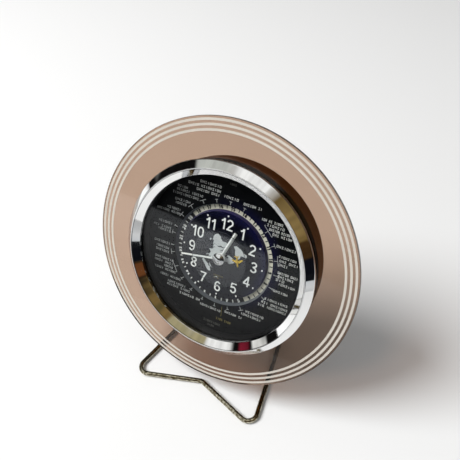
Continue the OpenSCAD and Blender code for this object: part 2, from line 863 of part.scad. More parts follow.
// Baton with a ridge along its middle
module hour_hand() {
    boss_r = 3.4;
    boss_rise = 0.2;
    root_r = (boss_r + hour_pipe_r) / 2;
    half = hour_hand_w / 2;
    edge = 0.35;
    section = [[-half, 0], [half, 0], [half, edge], [0, hour_hand_t], [-half, edge]];
    color([0.93, 0.93, 0.9])
        face()
            difference() {
                union() {
                    ring(boss_r, 0, hour_hand_top + boss_rise, hour_hand_top - hour_hand_t - seat);
                    rotate([0, 0, hour_angle])
                        translate([0, hour_hand_l, hour_hand_top - hour_hand_t])
                            rotate([90, 0, 0])
                                linear_extrude(hour_hand_l - root_r)
                                    polygon(section);
                }
                ring(hour_pipe_r + eps, 0, 1, hour_hand_top - 2);
            }
}

module hour_wheel() {
    color([0.85, 0.7, 0.4])
        face()
            difference() {
                union() {
                    gear(hour_teeth, hour_m, hour_phase, 0, hour_wheel_top, hour_wheel_end);
                    ring(hour_pipe_r, 0, hour_hand_top, hour_wheel_end);
                }
                ring(hour_bore_r, 0, 1, hour_wheel_end - 1);
            }
}

// Slim tapered hand
module minute_hand() {
    boss_r = 3;
    tip_w = 0.75 * minute_hand_w;
    color([0.95, 0.95, 0.93])
        face()
            difference() {
                union() {
                    ring(boss_r, 0, minute_hand_top, minute_hand_top - minute_hand_t);
                    rotate([0, 0, minute_angle])
                        translate([0, 0, minute_hand_top - minute_hand_t])
                            linear_extrude(minute_hand_t)
                                polygon([[-minute_hand_w / 2, 0], [minute_hand_w / 2, 0],
                                    [tip_w / 2, minute_hand_l], [-tip_w / 2, minute_hand_l]]);
                }
                ring(minute_pipe_r + eps, 0, 1, minute_hand_top - 2);
            }
}

// Minute pipe with the cannon pinion that drives the motion work
module cannon_pinion() {
    color([0.8, 0.66, 0.36])
        face()
            difference() {
                union() {
                    gear(cannon_teeth, coarse_m, cannon_phase, 0, cannon_top, cannon_end);
                    ring(minute_pipe_r, 0, minute_hand_top + 0.2, centre_wheel_end - 0.2);
                }
                ring(minute_bore_r, 0, 1, centre_wheel_end - 1);
            }
}

// Minute wheel, its pinion for the hour wheel, and its arbor
module minute_wheel() {
    pinion_top = hour_wheel_top + 0.1;
    color([0.92, 0.92, 0.9])
        face()
            at(minute_axis) {
                gear(minute_teeth, coarse_m, minute_phase, 0, minute_wheel_top, minute_wheel_end);
                gear(hour_pinion_teeth, hour_m, hour_pinion_phase, 0, pinion_top, minute_wheel_top);
                ring(minute_arbor_r, 0, ring_pinion_top, arbor_end);
            }
}

// Pinion pressed on the minute wheel's arbor in front of the plate
module ring_pinion() {
    color([0.92, 0.92, 0.9])
        face()
            at(minute_axis)
                gear(ring_pinion_teeth, ring_m, ring_pinion_phase, minute_arbor_r + eps,
                    ring_pinion_top, ring_wheel_end - fit_gap);
}

// Printed ring that turns once a day
module day_night_ring() {
    color([0.87, 0.85, 0.76])
        face()
            ring(ring_r, ring_inner_r, ring_top, ring_top - ring_t);
}

// Carrier under the ring: toothed hub, spoked web
module ring_wheel() {
    hub_r = pitch_r(ring_teeth, ring_m) - 1.15 * ring_m;
    window_n = 6;
    window_in = hub_r + 3;
    window_out = ring_inner_r - 2.5;
    window_mid = (window_in + window_out) / 2;
    color([0.85, 0.85, 0.82])
        face()
            difference() {
                union() {
                    gear(ring_teeth, ring_m, ring_phase, 0, ring_wheel_top, ring_wheel_end);
                    ring(ring_r, 0, web_top, ring_wheel_top);
                }
                ring(ring_bore_r, 0, 1, ring_wheel_end - 1);
                for (i = [0 : window_n - 1])
                    rotate([0, 0, 360 * i / window_n])
                        translate([window_mid, 0, 0])
                            ring((window_out - window_in) / 2, 0, 1, ring_wheel_top - 1);
            }
}

// Knurled knob, stem and pinion for setting the hands
module setting_knob() {
    knurls = 30;
    knurl_r = 0.45;
    pinion_top = minute_wheel_top + 0.1;
    pinion_end = minute_wheel_end - 0.1;
    round_r = 0.4;
    profile = [[0, 0], [knob_r - knob_chamfer, 0], [knob_r, knob_chamfer],
        [knob_r, knob_t - round_r], [knob_r - round_r, knob_t], [0, knob_t]];
    color([0.15, 0.15, 0.16])
        face()
            at(setting_axis) {
                gear(setting_teeth, setting_m, setting_phase, 0, pinion_top, pinion_end);
                ring(setting_stem_r, 0, pinion_end, knob_top);
                difference() {
                    translate([0, 0, knob_end])
                        rotate_extrude()
                            polygon(profile);
                    for (i = [0 : knurls - 1])
                        rotate([0, 0, 360 * i / knurls])
                            translate([knob_r + 0.1, 0, knob_end - 1])
                                cylinder(r = knurl_r, h = knob_t + 2, $fn = 16);
                }
            }
}

// Clear disc that carries the aircraft round once a minute
module seconds_disc() {
    color([0.85, 0.88, 0.9, 0.3])
        face()
            ring(seconds_disc_r, seconds_arbor_r + eps, seconds_disc_top,
                seconds_disc_top - seconds_disc_t);
}

// Aircraft: turned fuselage, swept wings and tail, nose in the direction of travel
module aircraft() {
    body_r = 0.072 * aircraft_l;
    nose = aircraft_l / 2;
    tail = -aircraft_l / 2;
    wing_t = 0.35;
    chord = 0.26 * aircraft_l;
    sweep = 0.25 * aircraft_l;
    half_span = aircraft_span / 2;
    stab = 0.38 * half_span;
    centre_z = seconds_disc_top + body_r + seat;
    fin_h = glass_back - 0.3 - centre_z;
    fin = [[0.6 * tail, 0], [0.92 * tail, fin_h], [tail, fin_h], [0.95 * tail, 0]];
    fuselage = [[0, tail], [0.25 * body_r, tail], [0.8 * body_r, 0.55 * tail], [body_r, 0.1 * tail],
        [body_r, 0.55 * nose], [0.72 * body_r, 0.82 * nose], [0.35 * body_r, 0.96 * nose], [0, nose]];
    color([0.83, 0.65, 0.22])
        face()
            rotate([0, 0, -seconds_clock_angle])
                translate([0, aircraft_circle_r, centre_z])
                    rotate([0, 0, -90]) {
                        rotate([-90, 0, 0])
                            rotate_extrude($fn = 32)
                                polygon(fuselage);
                        translate([0, 0, -0.5 * body_r])
                            linear_extrude(wing_t)
                                for (s = [-1, 1])
                                    polygon([[0, chord], [s * half_span, chord - sweep - 0.2 * chord],
                                        [s * half_span, chord - sweep - 0.55 * chord], [0, -0.35 * chord]]);
                        translate([0, 0, -0.1 * body_r])
                            linear_extrude(0.8 * wing_t)
                                for (s = [-1, 1])
                                    polygon([[0, 0.62 * tail], [s * stab, 0.88 * tail], [s * stab, tail],
                                        [0, 0.9 * tail]]);
                        translate([-0.4 * wing_t, 0, 0])
                            rotate([90, 0, 90])
                                linear_extrude(0.8 * wing_t)
                                    polygon(fin);
                    }
}

// Domed cap over the end of the arbors, on a low collar
module hub_cap() {
    collar_t = 0.35;
    dome_h = 1;
    dome_r = hub_cap_r - 0.7;
    sphere_r = (dome_r * dome_r + dome_h * dome_h) / (2 * dome_h);
    steps = 6;
    edge_t = 0.15;
    rim_a = asin(dome_r / sphere_r);
    dome = [for (i = [0 : steps])
        let (a = rim_a * i / steps)
            [sphere_r * sin(a), collar_t + dome_h - sphere_r * (1 - cos(a))]];
    color([0.85, 0.86, 0.88])
        face()
            translate([0, 0, seconds_disc_top])
                rotate_extrude()
                    polygon(concat(dome, [[dome_r + 2 * edge_t, collar_t], [hub_cap_r, edge_t],
                        [hub_cap_r, 0], [0, 0]]));
}

// Seconds arbor with the seconds wheel and the pinion of the third wheel
module seconds_arbor() {
    color([0.7, 0.7, 0.68])
        face() {
            ring(seconds_arbor_r, 0, seconds_disc_top - eps, arbor_end);
            gear(seconds_pinion_teeth, third_m, seconds_pinion_phase, 0, third_wheel_top + 0.1,
                third_wheel_end - 0.1);
            gear(seconds_teeth, seconds_m, seconds_phase, 0, seconds_wheel_top, seconds_wheel_end);
        }
}

// Wheel between the rotor and the seconds wheel
module intermediate_wheel() {
    bore = pin_r + run_gap;
    color([0.92, 0.92, 0.9])
        face()
            at(step_axis) {
                gear(step_pinion_teeth, seconds_m, step_pinion_phase, bore, seconds_wheel_top + 0.1,
                    step_wheel_top);
                gear(step_teeth, step_m, step_phase, bore, step_wheel_top, step_wheel_end);
            }
}

// Rotor: round magnet and pinion
module rotor() {
    bore = pin_r + run_gap;
    color([0.3, 0.3, 0.32])
        face()
            at(rotor_axis) {
                gear(rotor_teeth, step_m, rotor_phase, bore, step_wheel_top + 0.1, step_wheel_end - 0.1);
                ring(1.1, bore, step_wheel_end - 0.1, magnet_top);
                ring(magnet_r, bore, magnet_top, magnet_end);
            }
}

// Third wheel: slows the seconds wheel down to the centre wheel
module third_wheel() {
    bore = pin_r + run_gap;
    color([0.92, 0.92, 0.9])
        face()
            at(third_axis) {
                gear(third_pinion_teeth, centre_m, third_pinion_phase, bore, centre_wheel_top + 0.1,
                    third_wheel_top);
                gear(third_teeth, third_m, third_phase, bore, third_wheel_top, third_wheel_end);
            }
}

// Centre wheel, held on the minute pipe by friction so that the hands can be set
module centre_wheel() {
    color([0.85, 0.7, 0.4])
        face()
            gear(centre_teeth, centre_m, centre_phase, minute_pipe_r + run_gap, centre_wheel_top,
                centre_wheel_end);
}

// Straight length of wire, and a bend that joins two lengths
module wire_run(a, b) {
    d = unit(b - a);
    side = unit(abs(d.z) > 0.9 ? cross([1, 0, 0], d) : cross([0, 0, 1], d));
    up = cross(d, side);
    multmatrix([[side.x, up.x, d.x, a.x], [side.y, up.y, d.y, a.y], [side.z, up.z, d.z, a.z], [0, 0, 0, 1]])
        cylinder(r = wire_r, h = norm(b - a), $fn = 32);
}

module wire_elbow(a, b, c, r) {
    d = unit(b - a);
    out = -inward(a, b, c);
    k = cross(out, d);
    o = elbow_centre(a, b, c, r);
    multmatrix([[out.x, d.x, k.x, o.x], [out.y, d.y, k.y, o.y], [out.z, d.z, k.z, o.z], [0, 0, 0, 1]])
        rotate_extrude(angle = turn_angle(a, b, c), $fn = 96)
            translate([r, 0])
                circle(wire_r - bend_thin, $fn = 32);
}

function mirrored(p) = [-p.x, p.y, p.z];

// One wire bent to shape: front dip, two corners, two rear bends, two tips in their sockets
module wire_stand() {
    path = [wire_tip, wire_turn, wire_rear, wire_corner, wire_front, mirrored(wire_corner),
        mirrored(wire_rear), mirrored(wire_turn), mirrored(wire_tip)];
    last = len(path) - 1;
    radii = [for (i = [0 : last])
        i == 0 || i == last ? 0 : i == 4 ? dip_bend_r : abs(i - 4) == 1 ? corner_bend_r : bend_r];
    reach = [for (i = [0 : last])
        i == 0 || i == last ? 0 : elbow_reach(path[i - 1], path[i], path[i + 1], radii[i])];
    lap = [for (i = [0 : last]) i == 0 || i == last ? 0 : seat];
    color([0.55, 0.52, 0.48])
        translate([0, y_shift, 0]) {
            for (i = [0 : last - 1])
                let (d = unit(path[i + 1] - path[i]))
                    wire_run(path[i] + (reach[i] - lap[i]) * d,
                        path[i + 1] - (reach[i + 1] - lap[i + 1]) * d);
            for (i = [1 : last - 1])
                wire_elbow(path[i - 1], path[i], path[i + 1], radii[i]);
        }
}

acrylic_disc();
disc_stripes();
bezel();
crystal();
rehaut_ring();
zone_dial();
hour_dial();
hour_dots();
dial_post();
dial_frame();
clamp_ring();
case_barrel();
rear_cover();
case_screws();
movement_cover();
movement_screws();
stator();
coil();
circuit_board();
battery();
battery_contacts();
battery_cover();
hour_hand();
hour_wheel();
minute_hand();
cannon_pinion();
minute_wheel();
ring_pinion();
day_night_ring();
ring_wheel();
setting_knob();
seconds_disc();
aircraft();
hub_cap();
seconds_arbor();
intermediate_wheel();
rotor();
third_wheel();
centre_wheel();
wire_stand();
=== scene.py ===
import math
import bmesh
import bpy
from mathutils import Matrix, Vector


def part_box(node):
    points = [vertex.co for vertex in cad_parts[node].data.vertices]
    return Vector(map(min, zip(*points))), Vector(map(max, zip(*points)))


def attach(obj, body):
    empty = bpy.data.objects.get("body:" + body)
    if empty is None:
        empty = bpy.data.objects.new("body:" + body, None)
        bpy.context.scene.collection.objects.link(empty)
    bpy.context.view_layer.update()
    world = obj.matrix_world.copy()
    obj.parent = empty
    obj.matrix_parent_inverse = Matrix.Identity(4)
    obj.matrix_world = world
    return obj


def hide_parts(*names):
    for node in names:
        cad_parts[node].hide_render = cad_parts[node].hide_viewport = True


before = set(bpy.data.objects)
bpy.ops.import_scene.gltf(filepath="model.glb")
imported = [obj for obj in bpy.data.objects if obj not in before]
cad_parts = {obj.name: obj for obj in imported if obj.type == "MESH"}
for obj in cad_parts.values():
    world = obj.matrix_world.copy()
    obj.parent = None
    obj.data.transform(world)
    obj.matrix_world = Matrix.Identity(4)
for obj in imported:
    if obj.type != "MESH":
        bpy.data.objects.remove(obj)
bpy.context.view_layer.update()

# ---- frames
MM = 0.001
LEAN = math.radians(20)
FACE_X = Vector((1, 0, 0))
FACE_Y = Vector((0, math.sin(LEAN), math.cos(LEAN)))
FACE_Z = Vector((0, -math.cos(LEAN), math.sin(LEAN)))
disc_lo, disc_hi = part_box("acrylic_disc")
DISC_T = 2.0
ORIGIN = (Vector(disc_lo) + Vector(disc_hi)) / 2 + FACE_Z * (DISC_T / 2 * MM)
FACE = Matrix.Translation(ORIGIN) @ Matrix((FACE_X, FACE_Y, FACE_Z)).transposed().to_4x4() @ Matrix.Scale(MM, 4)
R = 100.0            # disc radius in mm: the unit of every measured ratio below
DIAL_Z = -7.1        # heights of the dials and of the day and night ring, below the face of the disc
RING_Z = -10.1


def srgb(r, g, b):
    """The linear colour of a screen colour from 0 to 255."""
    def linear(c):
        c /= 255
        return c / 12.92 if c <= 0.04045 else ((c + 0.055) / 1.055) ** 2.4
    return (linear(r), linear(g), linear(b), 1.0)


# ---- meshes
def polar(r, degrees):
    a = math.radians(degrees)
    return (r * math.cos(a), r * math.sin(a))


def rect(x0, x1, y0, y1):
    return [(x0, y0), (x1, y0), (x1, y1), (x0, y1)]


def add_object(name, data):
    ob = bpy.data.objects.new(name, data)
    bpy.context.scene.collection.objects.link(ob)
    return ob


def finish_mesh(name, bm, look, body, replaces=(), sharp=35, in_face=True):
    """Turns a mesh into a smooth shaded piece that rides on a body."""
    me = bpy.data.meshes.new(name)
    bmesh.ops.recalc_face_normals(bm, faces=bm.faces)
    bm.to_mesh(me)
    bm.free()
    if in_face:
        me.transform(FACE)
    for p in me.polygons:
        p.use_smooth = True
    me.set_sharp_from_angle(angle=math.radians(sharp))
    me.materials.append(look)
    ob = add_object(name, me)
    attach(ob, body)
    if replaces:
        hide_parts(*replaces)


def fillet(points, radii, steps=5):
    """A closed outline with its corners rounded."""
    out, n = [], len(points)
    for i in range(n):
        p, r = Vector(points[i]), radii[i] if isinstance(radii, (list, tuple)) else radii
        if r <= 0:
            out.append(tuple(p))
            continue
        a, b = Vector(points[i - 1]) - p, Vector(points[(i + 1) % n]) - p
        la, lb = a.length, b.length
        a, b = a.normalized(), b.normalized()
        ang = math.acos(max(-1, min(1, a.dot(b))))
        if ang > math.pi - 0.02:
            out.append(tuple(p))
            continue
        d = min(r / math.tan(ang / 2), la * 0.45, lb * 0.45)
        rr = d * math.tan(ang / 2)
        c = p + (a + b).normalized() * (rr / math.sin(ang / 2))
        s, e = p + a * d - c, p + b * d - c
        t0 = math.atan2(s.y, s.x)
        dt = (math.atan2(e.y, e.x) - t0 + math.pi) % (2 * math.pi) - math.pi
        for k in range(steps + 1):
            t = t0 + dt * k / steps
            out.append((c.x + rr * math.cos(t), c.y + rr * math.sin(t)))
    return out


def supported(outline, near=0.06, least=0.9):
    """Adds points close to the ends of long straight runs, so that smooth shading leaves them flat."""
    out, n = [], len(outline)
    for i in range(n):
        a, b = Vector(outline[i]), Vector(outline[(i + 1) % n])
        out.append(tuple(a))
        gap = (b - a).length
        if gap > least:
            for k in (near / gap, 1 - near / gap):
                out.append(tuple(a.lerp(b, k)))
    return out


def lathe(name, outline, look, body, replaces=(), n=256, a0=0.0, a1=360.0, sharp=35):
    """Turns a closed outline of (radius, height) about the face's axis. A point at radius 0 is shared."""
    bm = bmesh.new()
    outline = supported(outline)
    full = abs(a1 - a0) >= 359.99
    steps = n if full else max(2, round(n * abs(a1 - a0) / 360))
    columns, axis = [], {}
    for i in range(steps if full else steps + 1):
        a = math.radians(a0 + (a1 - a0) * i / steps)
        column = []
        for k, (r, z) in enumerate(outline):
            if abs(r) < 1e-9:
                if k not in axis:
                    axis[k] = bm.verts.new((0, 0, z))
                column.append(axis[k])
            else:
                column.append(bm.verts.new((r * math.cos(a), r * math.sin(a), z)))
        columns.append(column)
    for i in range(steps):
        c, d = columns[i], columns[(i + 1) % len(columns)]
        for k in range(len(outline)):
            j = (k + 1) % len(outline)
            quad = [c[k], c[j], d[j], d[k]]
            face = [v for i_v, v in enumerate(quad) if v not in quad[:i_v]]
            if len(face) > 2:
                bm.faces.new(face)
    if not full:
        bm.faces.new(columns[0])
        bm.faces.new(columns[-1])
    finish_mesh(name, bm, look, body, replaces, sharp)


class Print:
    """Flat printed marks on a face, gathered into one mesh. Each mark lies a hair above the last."""

    def __init__(self, z, lift=0.03):
        self.bm, self.z, self.lift, self.count = bmesh.new(), z, lift, 0

    def level(self):
        self.count += 1
        return self.z + self.lift + 0.0006 * (self.count % 12)

    def area(self, points):
        z = self.level()
        f = self.bm.faces.new([self.bm.verts.new((x, y, z)) for x, y in points])
        f.normal_update()
        if f.normal.z < 0:
            f.normal_flip()

    def line(self, points, width, closed=False):
        """A ribbon of one width along points, with mitred turns."""
        z, h = self.level(), width / 2
        pts = [Vector(p) for p in points]
        n = len(pts)
        left, right = [], []
        for i, p in enumerate(pts):
            d1 = (p - pts[i - 1]).normalized() if i > 0 or closed else None
            d2 = (pts[(i + 1) % n] - p).normalized() if i < n - 1 or closed else None
            d1, d2 = d1 or d2, d2 or d1
            n1, n2 = Vector((-d1.y, d1.x)), Vector((-d2.y, d2.x))
            m = n1 + n2
            m = m.normalized() if m.length > 1e-6 else n1
            k = h / max(0.45, m.dot(n1))
            left.append(self.bm.verts.new((p.x + m.x * k, p.y + m.y * k, z)))
            right.append(self.bm.verts.new((p.x - m.x * k, p.y - m.y * k, z)))
        for i in range(n if closed else n - 1):
            j = (i + 1) % n
            self.bm.faces.new([right[i], right[j], left[j], left[i]])

    def done(self, name, look, body, slot):
        me = bpy.data.meshes.new(name)
        self.bm.normal_update()
        self.bm.to_mesh(me)
        self.bm.free()
        me.transform(FACE)
        me.materials.append(look)
        ob = add_object(name, me)
        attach(ob, body)


def arc(cx, cy, rx, ry, a0, a1, n=14):
    turns = [math.radians(a0 + (a1 - a0) * k / n) for k in range(n + 1)]
    return [(cx + rx * math.cos(t), cy + ry * math.sin(t)) for t in turns]


def digit_strokes(d, t):
    """Centre lines of a plain numeral of height 1, with stroke width t. Returns (width, strokes)."""
    h, w = t / 2, 0.60
    r = w / 2 - h
    m = w / 2
    if d == "0":
        tall = r * 1.25
        return w, [(arc(m, 1 - h - tall, r, tall, 0, 180) + arc(m, h + tall, r, tall, 180, 360), True)]
    if d == "1":
        flag = [(0.02, 0.735), (0.13, 0.775), (0.22, 0.85), (0.27, 0.97)]
        return 0.42, [([(0.30, 0), (0.30, 1)], False), (flag, False)]
    if d == "2":
        top = arc(m, 1 - h - r * 1.05, r, r * 1.05, 168, -28)
        return w, [(top + [(h + 0.16, 0.30), (h + 0.045, h)], False), ([(0.01, h), (w, h)], False)]
    if d == "3":
        up = arc(m - 0.01, 0.745, r * 0.92, 0.255 - h, 165, -90)
        low = arc(m - 0.01, 0.275, r, 0.275 - h, 90, -165)
        return w, [(up, False), (low, False), ([(m - 0.10, 0.515), (m + 0.02, 0.515)], False)]
    if d == "4":
        slope, foot = [(0.43, 0.93), (h * 0.9, 0.30)], [(0.01, 0.275), (w + 0.04, 0.275)]
        return w + 0.04, [(slope, False), (foot, False), ([(0.44, 0), (0.44, 1)], False)]
    if d == "5":
        bowl = arc(m, 0.33, r, 0.33 - h, 128, -162)
        bar, neck = [(w - 0.03, 1 - h), (0.10, 1 - h)], [(0.13, 1 - h), (0.085, 0.47)]
        return w, [(bar, False), (neck, False), (bowl, False)]
    if d == "6":
        bowl = arc(m, 0.32, r, 0.32 - h, 0, 360)[:-1]
        back = arc(m + 0.015, 0.60, r * 1.03, 0.40 - h, 38, 180) + [(h, 0.40), (h, 0.30)]
        return w, [(bowl, True), (back, False)]
    if d == "7":
        return w, [([(0.01, 1 - h), (w, 1 - h)], False), ([(w - h * 0.9, 1 - h), (0.33, 0.45), (0.20, 0)], False)]
    if d == "8":
        up, low = arc(m, 0.75, r * 0.88, 0.25 - h, 0, 360)[:-1], arc(m, 0.27, r, 0.27 - h, 0, 360)[:-1]
        return w, [(up, True), (low, True)]
    # a 9 is a 6 turned round
    width, strokes = digit_strokes("6", t)
    return width, [([(width - x, 1 - y) for x, y in pts], c) for pts, c in strokes]


def number(sheet, text, centre, height, stroke, turn=0.0, gap=0.13, narrow=1.0):
    """Prints a plain number centred on a point, turned about it."""
    parts, x = [], 0.0
    for d in text:
        w, strokes = digit_strokes(d, stroke)
        parts.append((x, strokes))
        x += w + gap
    total = x - gap
    ca, sa = math.cos(turn), math.sin(turn)
    for x0, strokes in parts:
        for pts, closed in strokes:
            out = []
            for px, py in pts:
                u, v = (x0 + px - total / 2) * height * narrow, (py - 0.5) * height
                out.append((centre[0] + u * ca - v * sa, centre[1] + u * sa + v * ca))
            sheet.line(out, stroke * height, closed)


# ---- nodes and materials
def put(nt, n, inputs):
    """Fills a node's inputs, given by name or number: a socket is linked, any other value is set."""
    for k, v in inputs.items():
        if isinstance(v, bpy.types.NodeSocket):
            nt.links.new(v, n.inputs[k])
        else:
            n.inputs[k].default_value = v


def node(nt, kind, inputs, **settings):
    n = nt.nodes.new("ShaderNode" + kind)
    for k, v in settings.items():
        setattr(n, k, v)
    put(nt, n, inputs)
    return n


def coords(nt, kind="Object"):
    return node(nt, "TexCoord", {}).outputs[kind]


def calc(nt, operation, *values, **settings):
    return node(nt, "Math", dict(enumerate(values)), operation=operation, **settings).outputs[0]


def vector(nt, operation, *values):
    n = node(nt, "VectorMath", dict(enumerate(values)), operation=operation)
    return n.outputs["Value" if operation in ("LENGTH", "DOT_PRODUCT") else "Vector"]


def mixed(nt, fac, first, second):
    return node(nt, "MixShader", {"Fac": fac, 1: first, 2: second}).outputs["Shader"]


def blend(nt, fac, below, above):
    return node(nt, "Mix", {"Factor": fac, "A": below, "B": above}, data_type="RGBA").outputs["Result"]


def noise(nt, scale, detail=3.0, rough=0.5, stretch=None, kind="Object"):
    src = coords(nt, kind)
    if stretch:
        src = node(nt, "Mapping", {"Vector": src, "Scale": stretch}).outputs["Vector"]
    n = node(nt, "TexNoise", {"Vector": src, "Scale": scale, "Detail": detail, "Roughness": rough})
    return n.outputs["Fac"]


def ramp(nt, fac, stops):
    r = node(nt, "ValToRGB", {"Fac": fac})
    e = r.color_ramp.elements
    while len(e) < len(stops):
        e.new(0.5)
    for el, (p, c) in zip(e, stops):
        el.position = p
        el.color = (*c[:3], 1)
    return r.outputs["Color"]


def span(nt, fac, lo, hi, a=0.0, b=1.0, **settings):
    limits = {"Value": fac, "From Min": lo, "From Max": hi, "To Min": a, "To Max": b}
    return node(nt, "MapRange", limits, **settings).outputs["Result"]


def bump(nt, bsdf, height, strength, distance):
    b = node(nt, "Bump", {"Height": height, "Strength": strength, "Distance": distance})
    put(nt, bsdf, {"Normal": b.outputs["Normal"]})


def material(name):
    m = bpy.data.materials.new(name)
    m.use_nodes = True
    nt = m.node_tree
    return m, nt, nt.nodes["Principled BSDF"]


def solid(name, colour, rough=0.4, metallic=0.0, vary=0.1, grain=900.0, bump_mm=0.0, rough_vary=0.08, coat=0.0,
          spec=0.5, blotch=25.0):
    """A surface with slow colour variation, uneven roughness and a fine grain."""
    m, nt, p = material(name)
    dark = tuple(c * (1 - vary) for c in colour[:3])
    light = tuple(min(1.0, c * (1 + vary * 0.6)) for c in colour[:3])
    fine = noise(nt, grain, 3.0, 0.6)
    put(nt, p, {
        "Base Color": ramp(nt, noise(nt, blotch, 4.0, 0.55), [(0.3, dark), (0.7, light)]),
        "Roughness": span(nt, fine, 0.25, 0.75, max(0.0, rough - rough_vary), rough + rough_vary),
        "Metallic": metallic, "Coat Weight": coat, "Coat Roughness": 0.05, "Specular IOR Level": spec, "IOR": 1.5})
    if bump_mm:
        bump(nt, p, fine, 0.6, bump_mm * MM)
    return m


def tinted(mat, colour, r_none, r_full, toward):
    """Blends a blue into a dial's colour toward one radius, on one side only: painted sheen."""
    nt = mat.node_tree
    p = nt.nodes["Principled BSDF"]
    t = math.radians(toward)
    away = vector(nt, "SUBTRACT", coords(nt), ORIGIN)
    far = vector(nt, "LENGTH", vector(nt, "CROSS_PRODUCT", away, FACE_Z))
    along = vector(nt, "DOT_PRODUCT", away, FACE_X * math.cos(t) + FACE_Y * math.sin(t))
    amount = calc(nt, "MULTIPLY", span(nt, far, r_none * MM, r_full * MM),
                  span(nt, calc(nt, "DIVIDE", along, far), -0.1, 0.8))
    put(nt, p, {"Base Color": blend(nt, amount, p.inputs["Base Color"].links[0].from_socket, colour)})


def clear(name, tint, shade, ior, smear, fall=5.0):
    """A see-through solid. Its shadow is let through as tinted light."""
    m, nt, p = material(name)
    put(nt, p, {"Base Color": (*tint, 1), "Transmission Weight": 1.0, "IOR": ior,
                "Roughness": span(nt, noise(nt, 60.0, 5.0, 0.6), 0.45, 0.8, 0.0, smear)})
    through = node(nt, "BsdfTransparent", {"Color": (*shade, 1)}).outputs["BSDF"]
    # what is mirrored in other pieces: straight rays, with the surface's own reflection at low angles
    facing = node(nt, "LayerWeight", {"Blend": 0.5}).outputs["Facing"]
    sheen = node(nt, "BsdfAnisotropic", {"Roughness": 0.02, "Color": (0.96, 0.96, 0.96, 1)}).outputs["BSDF"]
    thin = mixed(nt, span(nt, calc(nt, "POWER", facing, fall), 0.0, 1.0, 0.04, 1.0), through, sheen)
    # a ray that was bent on its way in is bent on its way out too, also after it was mirrored inside
    ray = node(nt, "LightPath", {}).outputs
    within = calc(nt, "MULTIPLY", node(nt, "NewGeometry", {}).outputs["Backfacing"],
                  calc(nt, "LESS_THAN", ray["Transparent Depth"], 0.5))
    outside = calc(nt, "SUBTRACT", ray["Is Reflection Ray"], within, use_clamp=True)
    straight = calc(nt, "MAXIMUM", calc(nt, "MAXIMUM", ray["Is Shadow Ray"], ray["Is Diffuse Ray"]), outside)
    other = mixed(nt, ray["Is Shadow Ray"], thin, through)
    put(nt, nt.nodes["Material Output"], {"Surface": mixed(nt, straight, p.outputs["BSDF"], other)})
    return m


def brushed(name, colour, rough=0.25, wear=0.15, stretch=None, scale=700.0, dirt=None, blotch=45.0, worn=0.0):
    """A bright metal, duller or dirty in patches."""
    m, nt, p = material(name)
    streak = noise(nt, scale, 4.0, 0.6, stretch)
    low = dirt or tuple(c * (1 - wear) for c in colour)
    put(nt, p, {"Base Color": ramp(nt, noise(nt, blotch, 5.0, 0.6), [(0.32 + worn, low), (0.6 + worn, colour)]),
                "Roughness": span(nt, streak, 0.3, 0.7, rough * 0.6, rough * 1.5), "Metallic": 1.0})
    bump(nt, p, streak, 0.25, 0.02 * MM)
    return m


def chrome(name, rough=0.03):
    m, nt, p = material(name)
    tones = [(0.3, (0.80, 0.80, 0.79)), (0.7, (0.88, 0.885, 0.89))]
    put(nt, p, {"Base Color": ramp(nt, noise(nt, 30.0, 4.0), tones),
                "Roughness": span(nt, noise(nt, 90.0, 6.0, 0.65), 0.5, 0.85, rough, rough + 0.07), "Metallic": 1.0})
    bump(nt, p, noise(nt, 140.0, 2.0, 0.4), 0.03, 0.02 * MM)
    return m


BEZEL = chrome("bezel_chrome")
CAP = chrome("cap_chrome", 0.05)
ACRYLIC = clear("clear_acrylic", (0.514, 0.36, 0.267), (0.60, 0.47, 0.39), ior=1.38, smear=0.02)
GLASS = clear("glass", (0.985, 0.99, 0.99), (0.93, 0.94, 0.94), ior=1.25, smear=0.015, fall=2.0)
SECONDS_CLEAR = clear("seconds_clear", (0.97, 0.975, 0.98), (0.92, 0.93, 0.94), ior=1.33, smear=0.02)
STRIPE = solid("white_print", srgb(198, 192, 182), rough=0.4, vary=0.06, grain=500, spec=0.2, blotch=40)
# painted shade: the rim of the clear disc, dark all round
EDGE = solid("disc_edge_shade", srgb(58, 44, 38), rough=0.25, vary=0.25, grain=600, blotch=60)
DIAL = solid("dial_black", srgb(4, 5, 7), rough=0.3, vary=0.25, grain=260, rough_vary=0.03, spec=0.12, blotch=40)
NAVY = solid("dial_navy", srgb(10, 11, 22), rough=0.05, vary=0.2, grain=260, rough_vary=0.02, spec=0.5, blotch=40)
# painted sheen: a blue glow on the outer dial just outside the window, and on the twelve hour dial toward its rim,
# both on the upper right
tinted(DIAL, srgb(9, 9, 40), 46.5, 38.6, 20)
tinted(NAVY, srgb(17, 17, 52), 27.0, 33.4, 35)
REHAUT = solid("rehaut_black", srgb(13, 13, 14), rough=0.4, vary=0.2, grain=900, bump_mm=0.02)
FRAME_BLACK = solid("frame_black", srgb(28, 28, 30), rough=0.55, vary=0.15, bump_mm=0.03)
RIM = solid("frosted_rim", srgb(50, 52, 58), rough=0.6, vary=0.1, grain=1500, spec=0.1)
MARK = solid("marker_white", srgb(232, 233, 228), rough=0.4, vary=0.04, grain=1500)
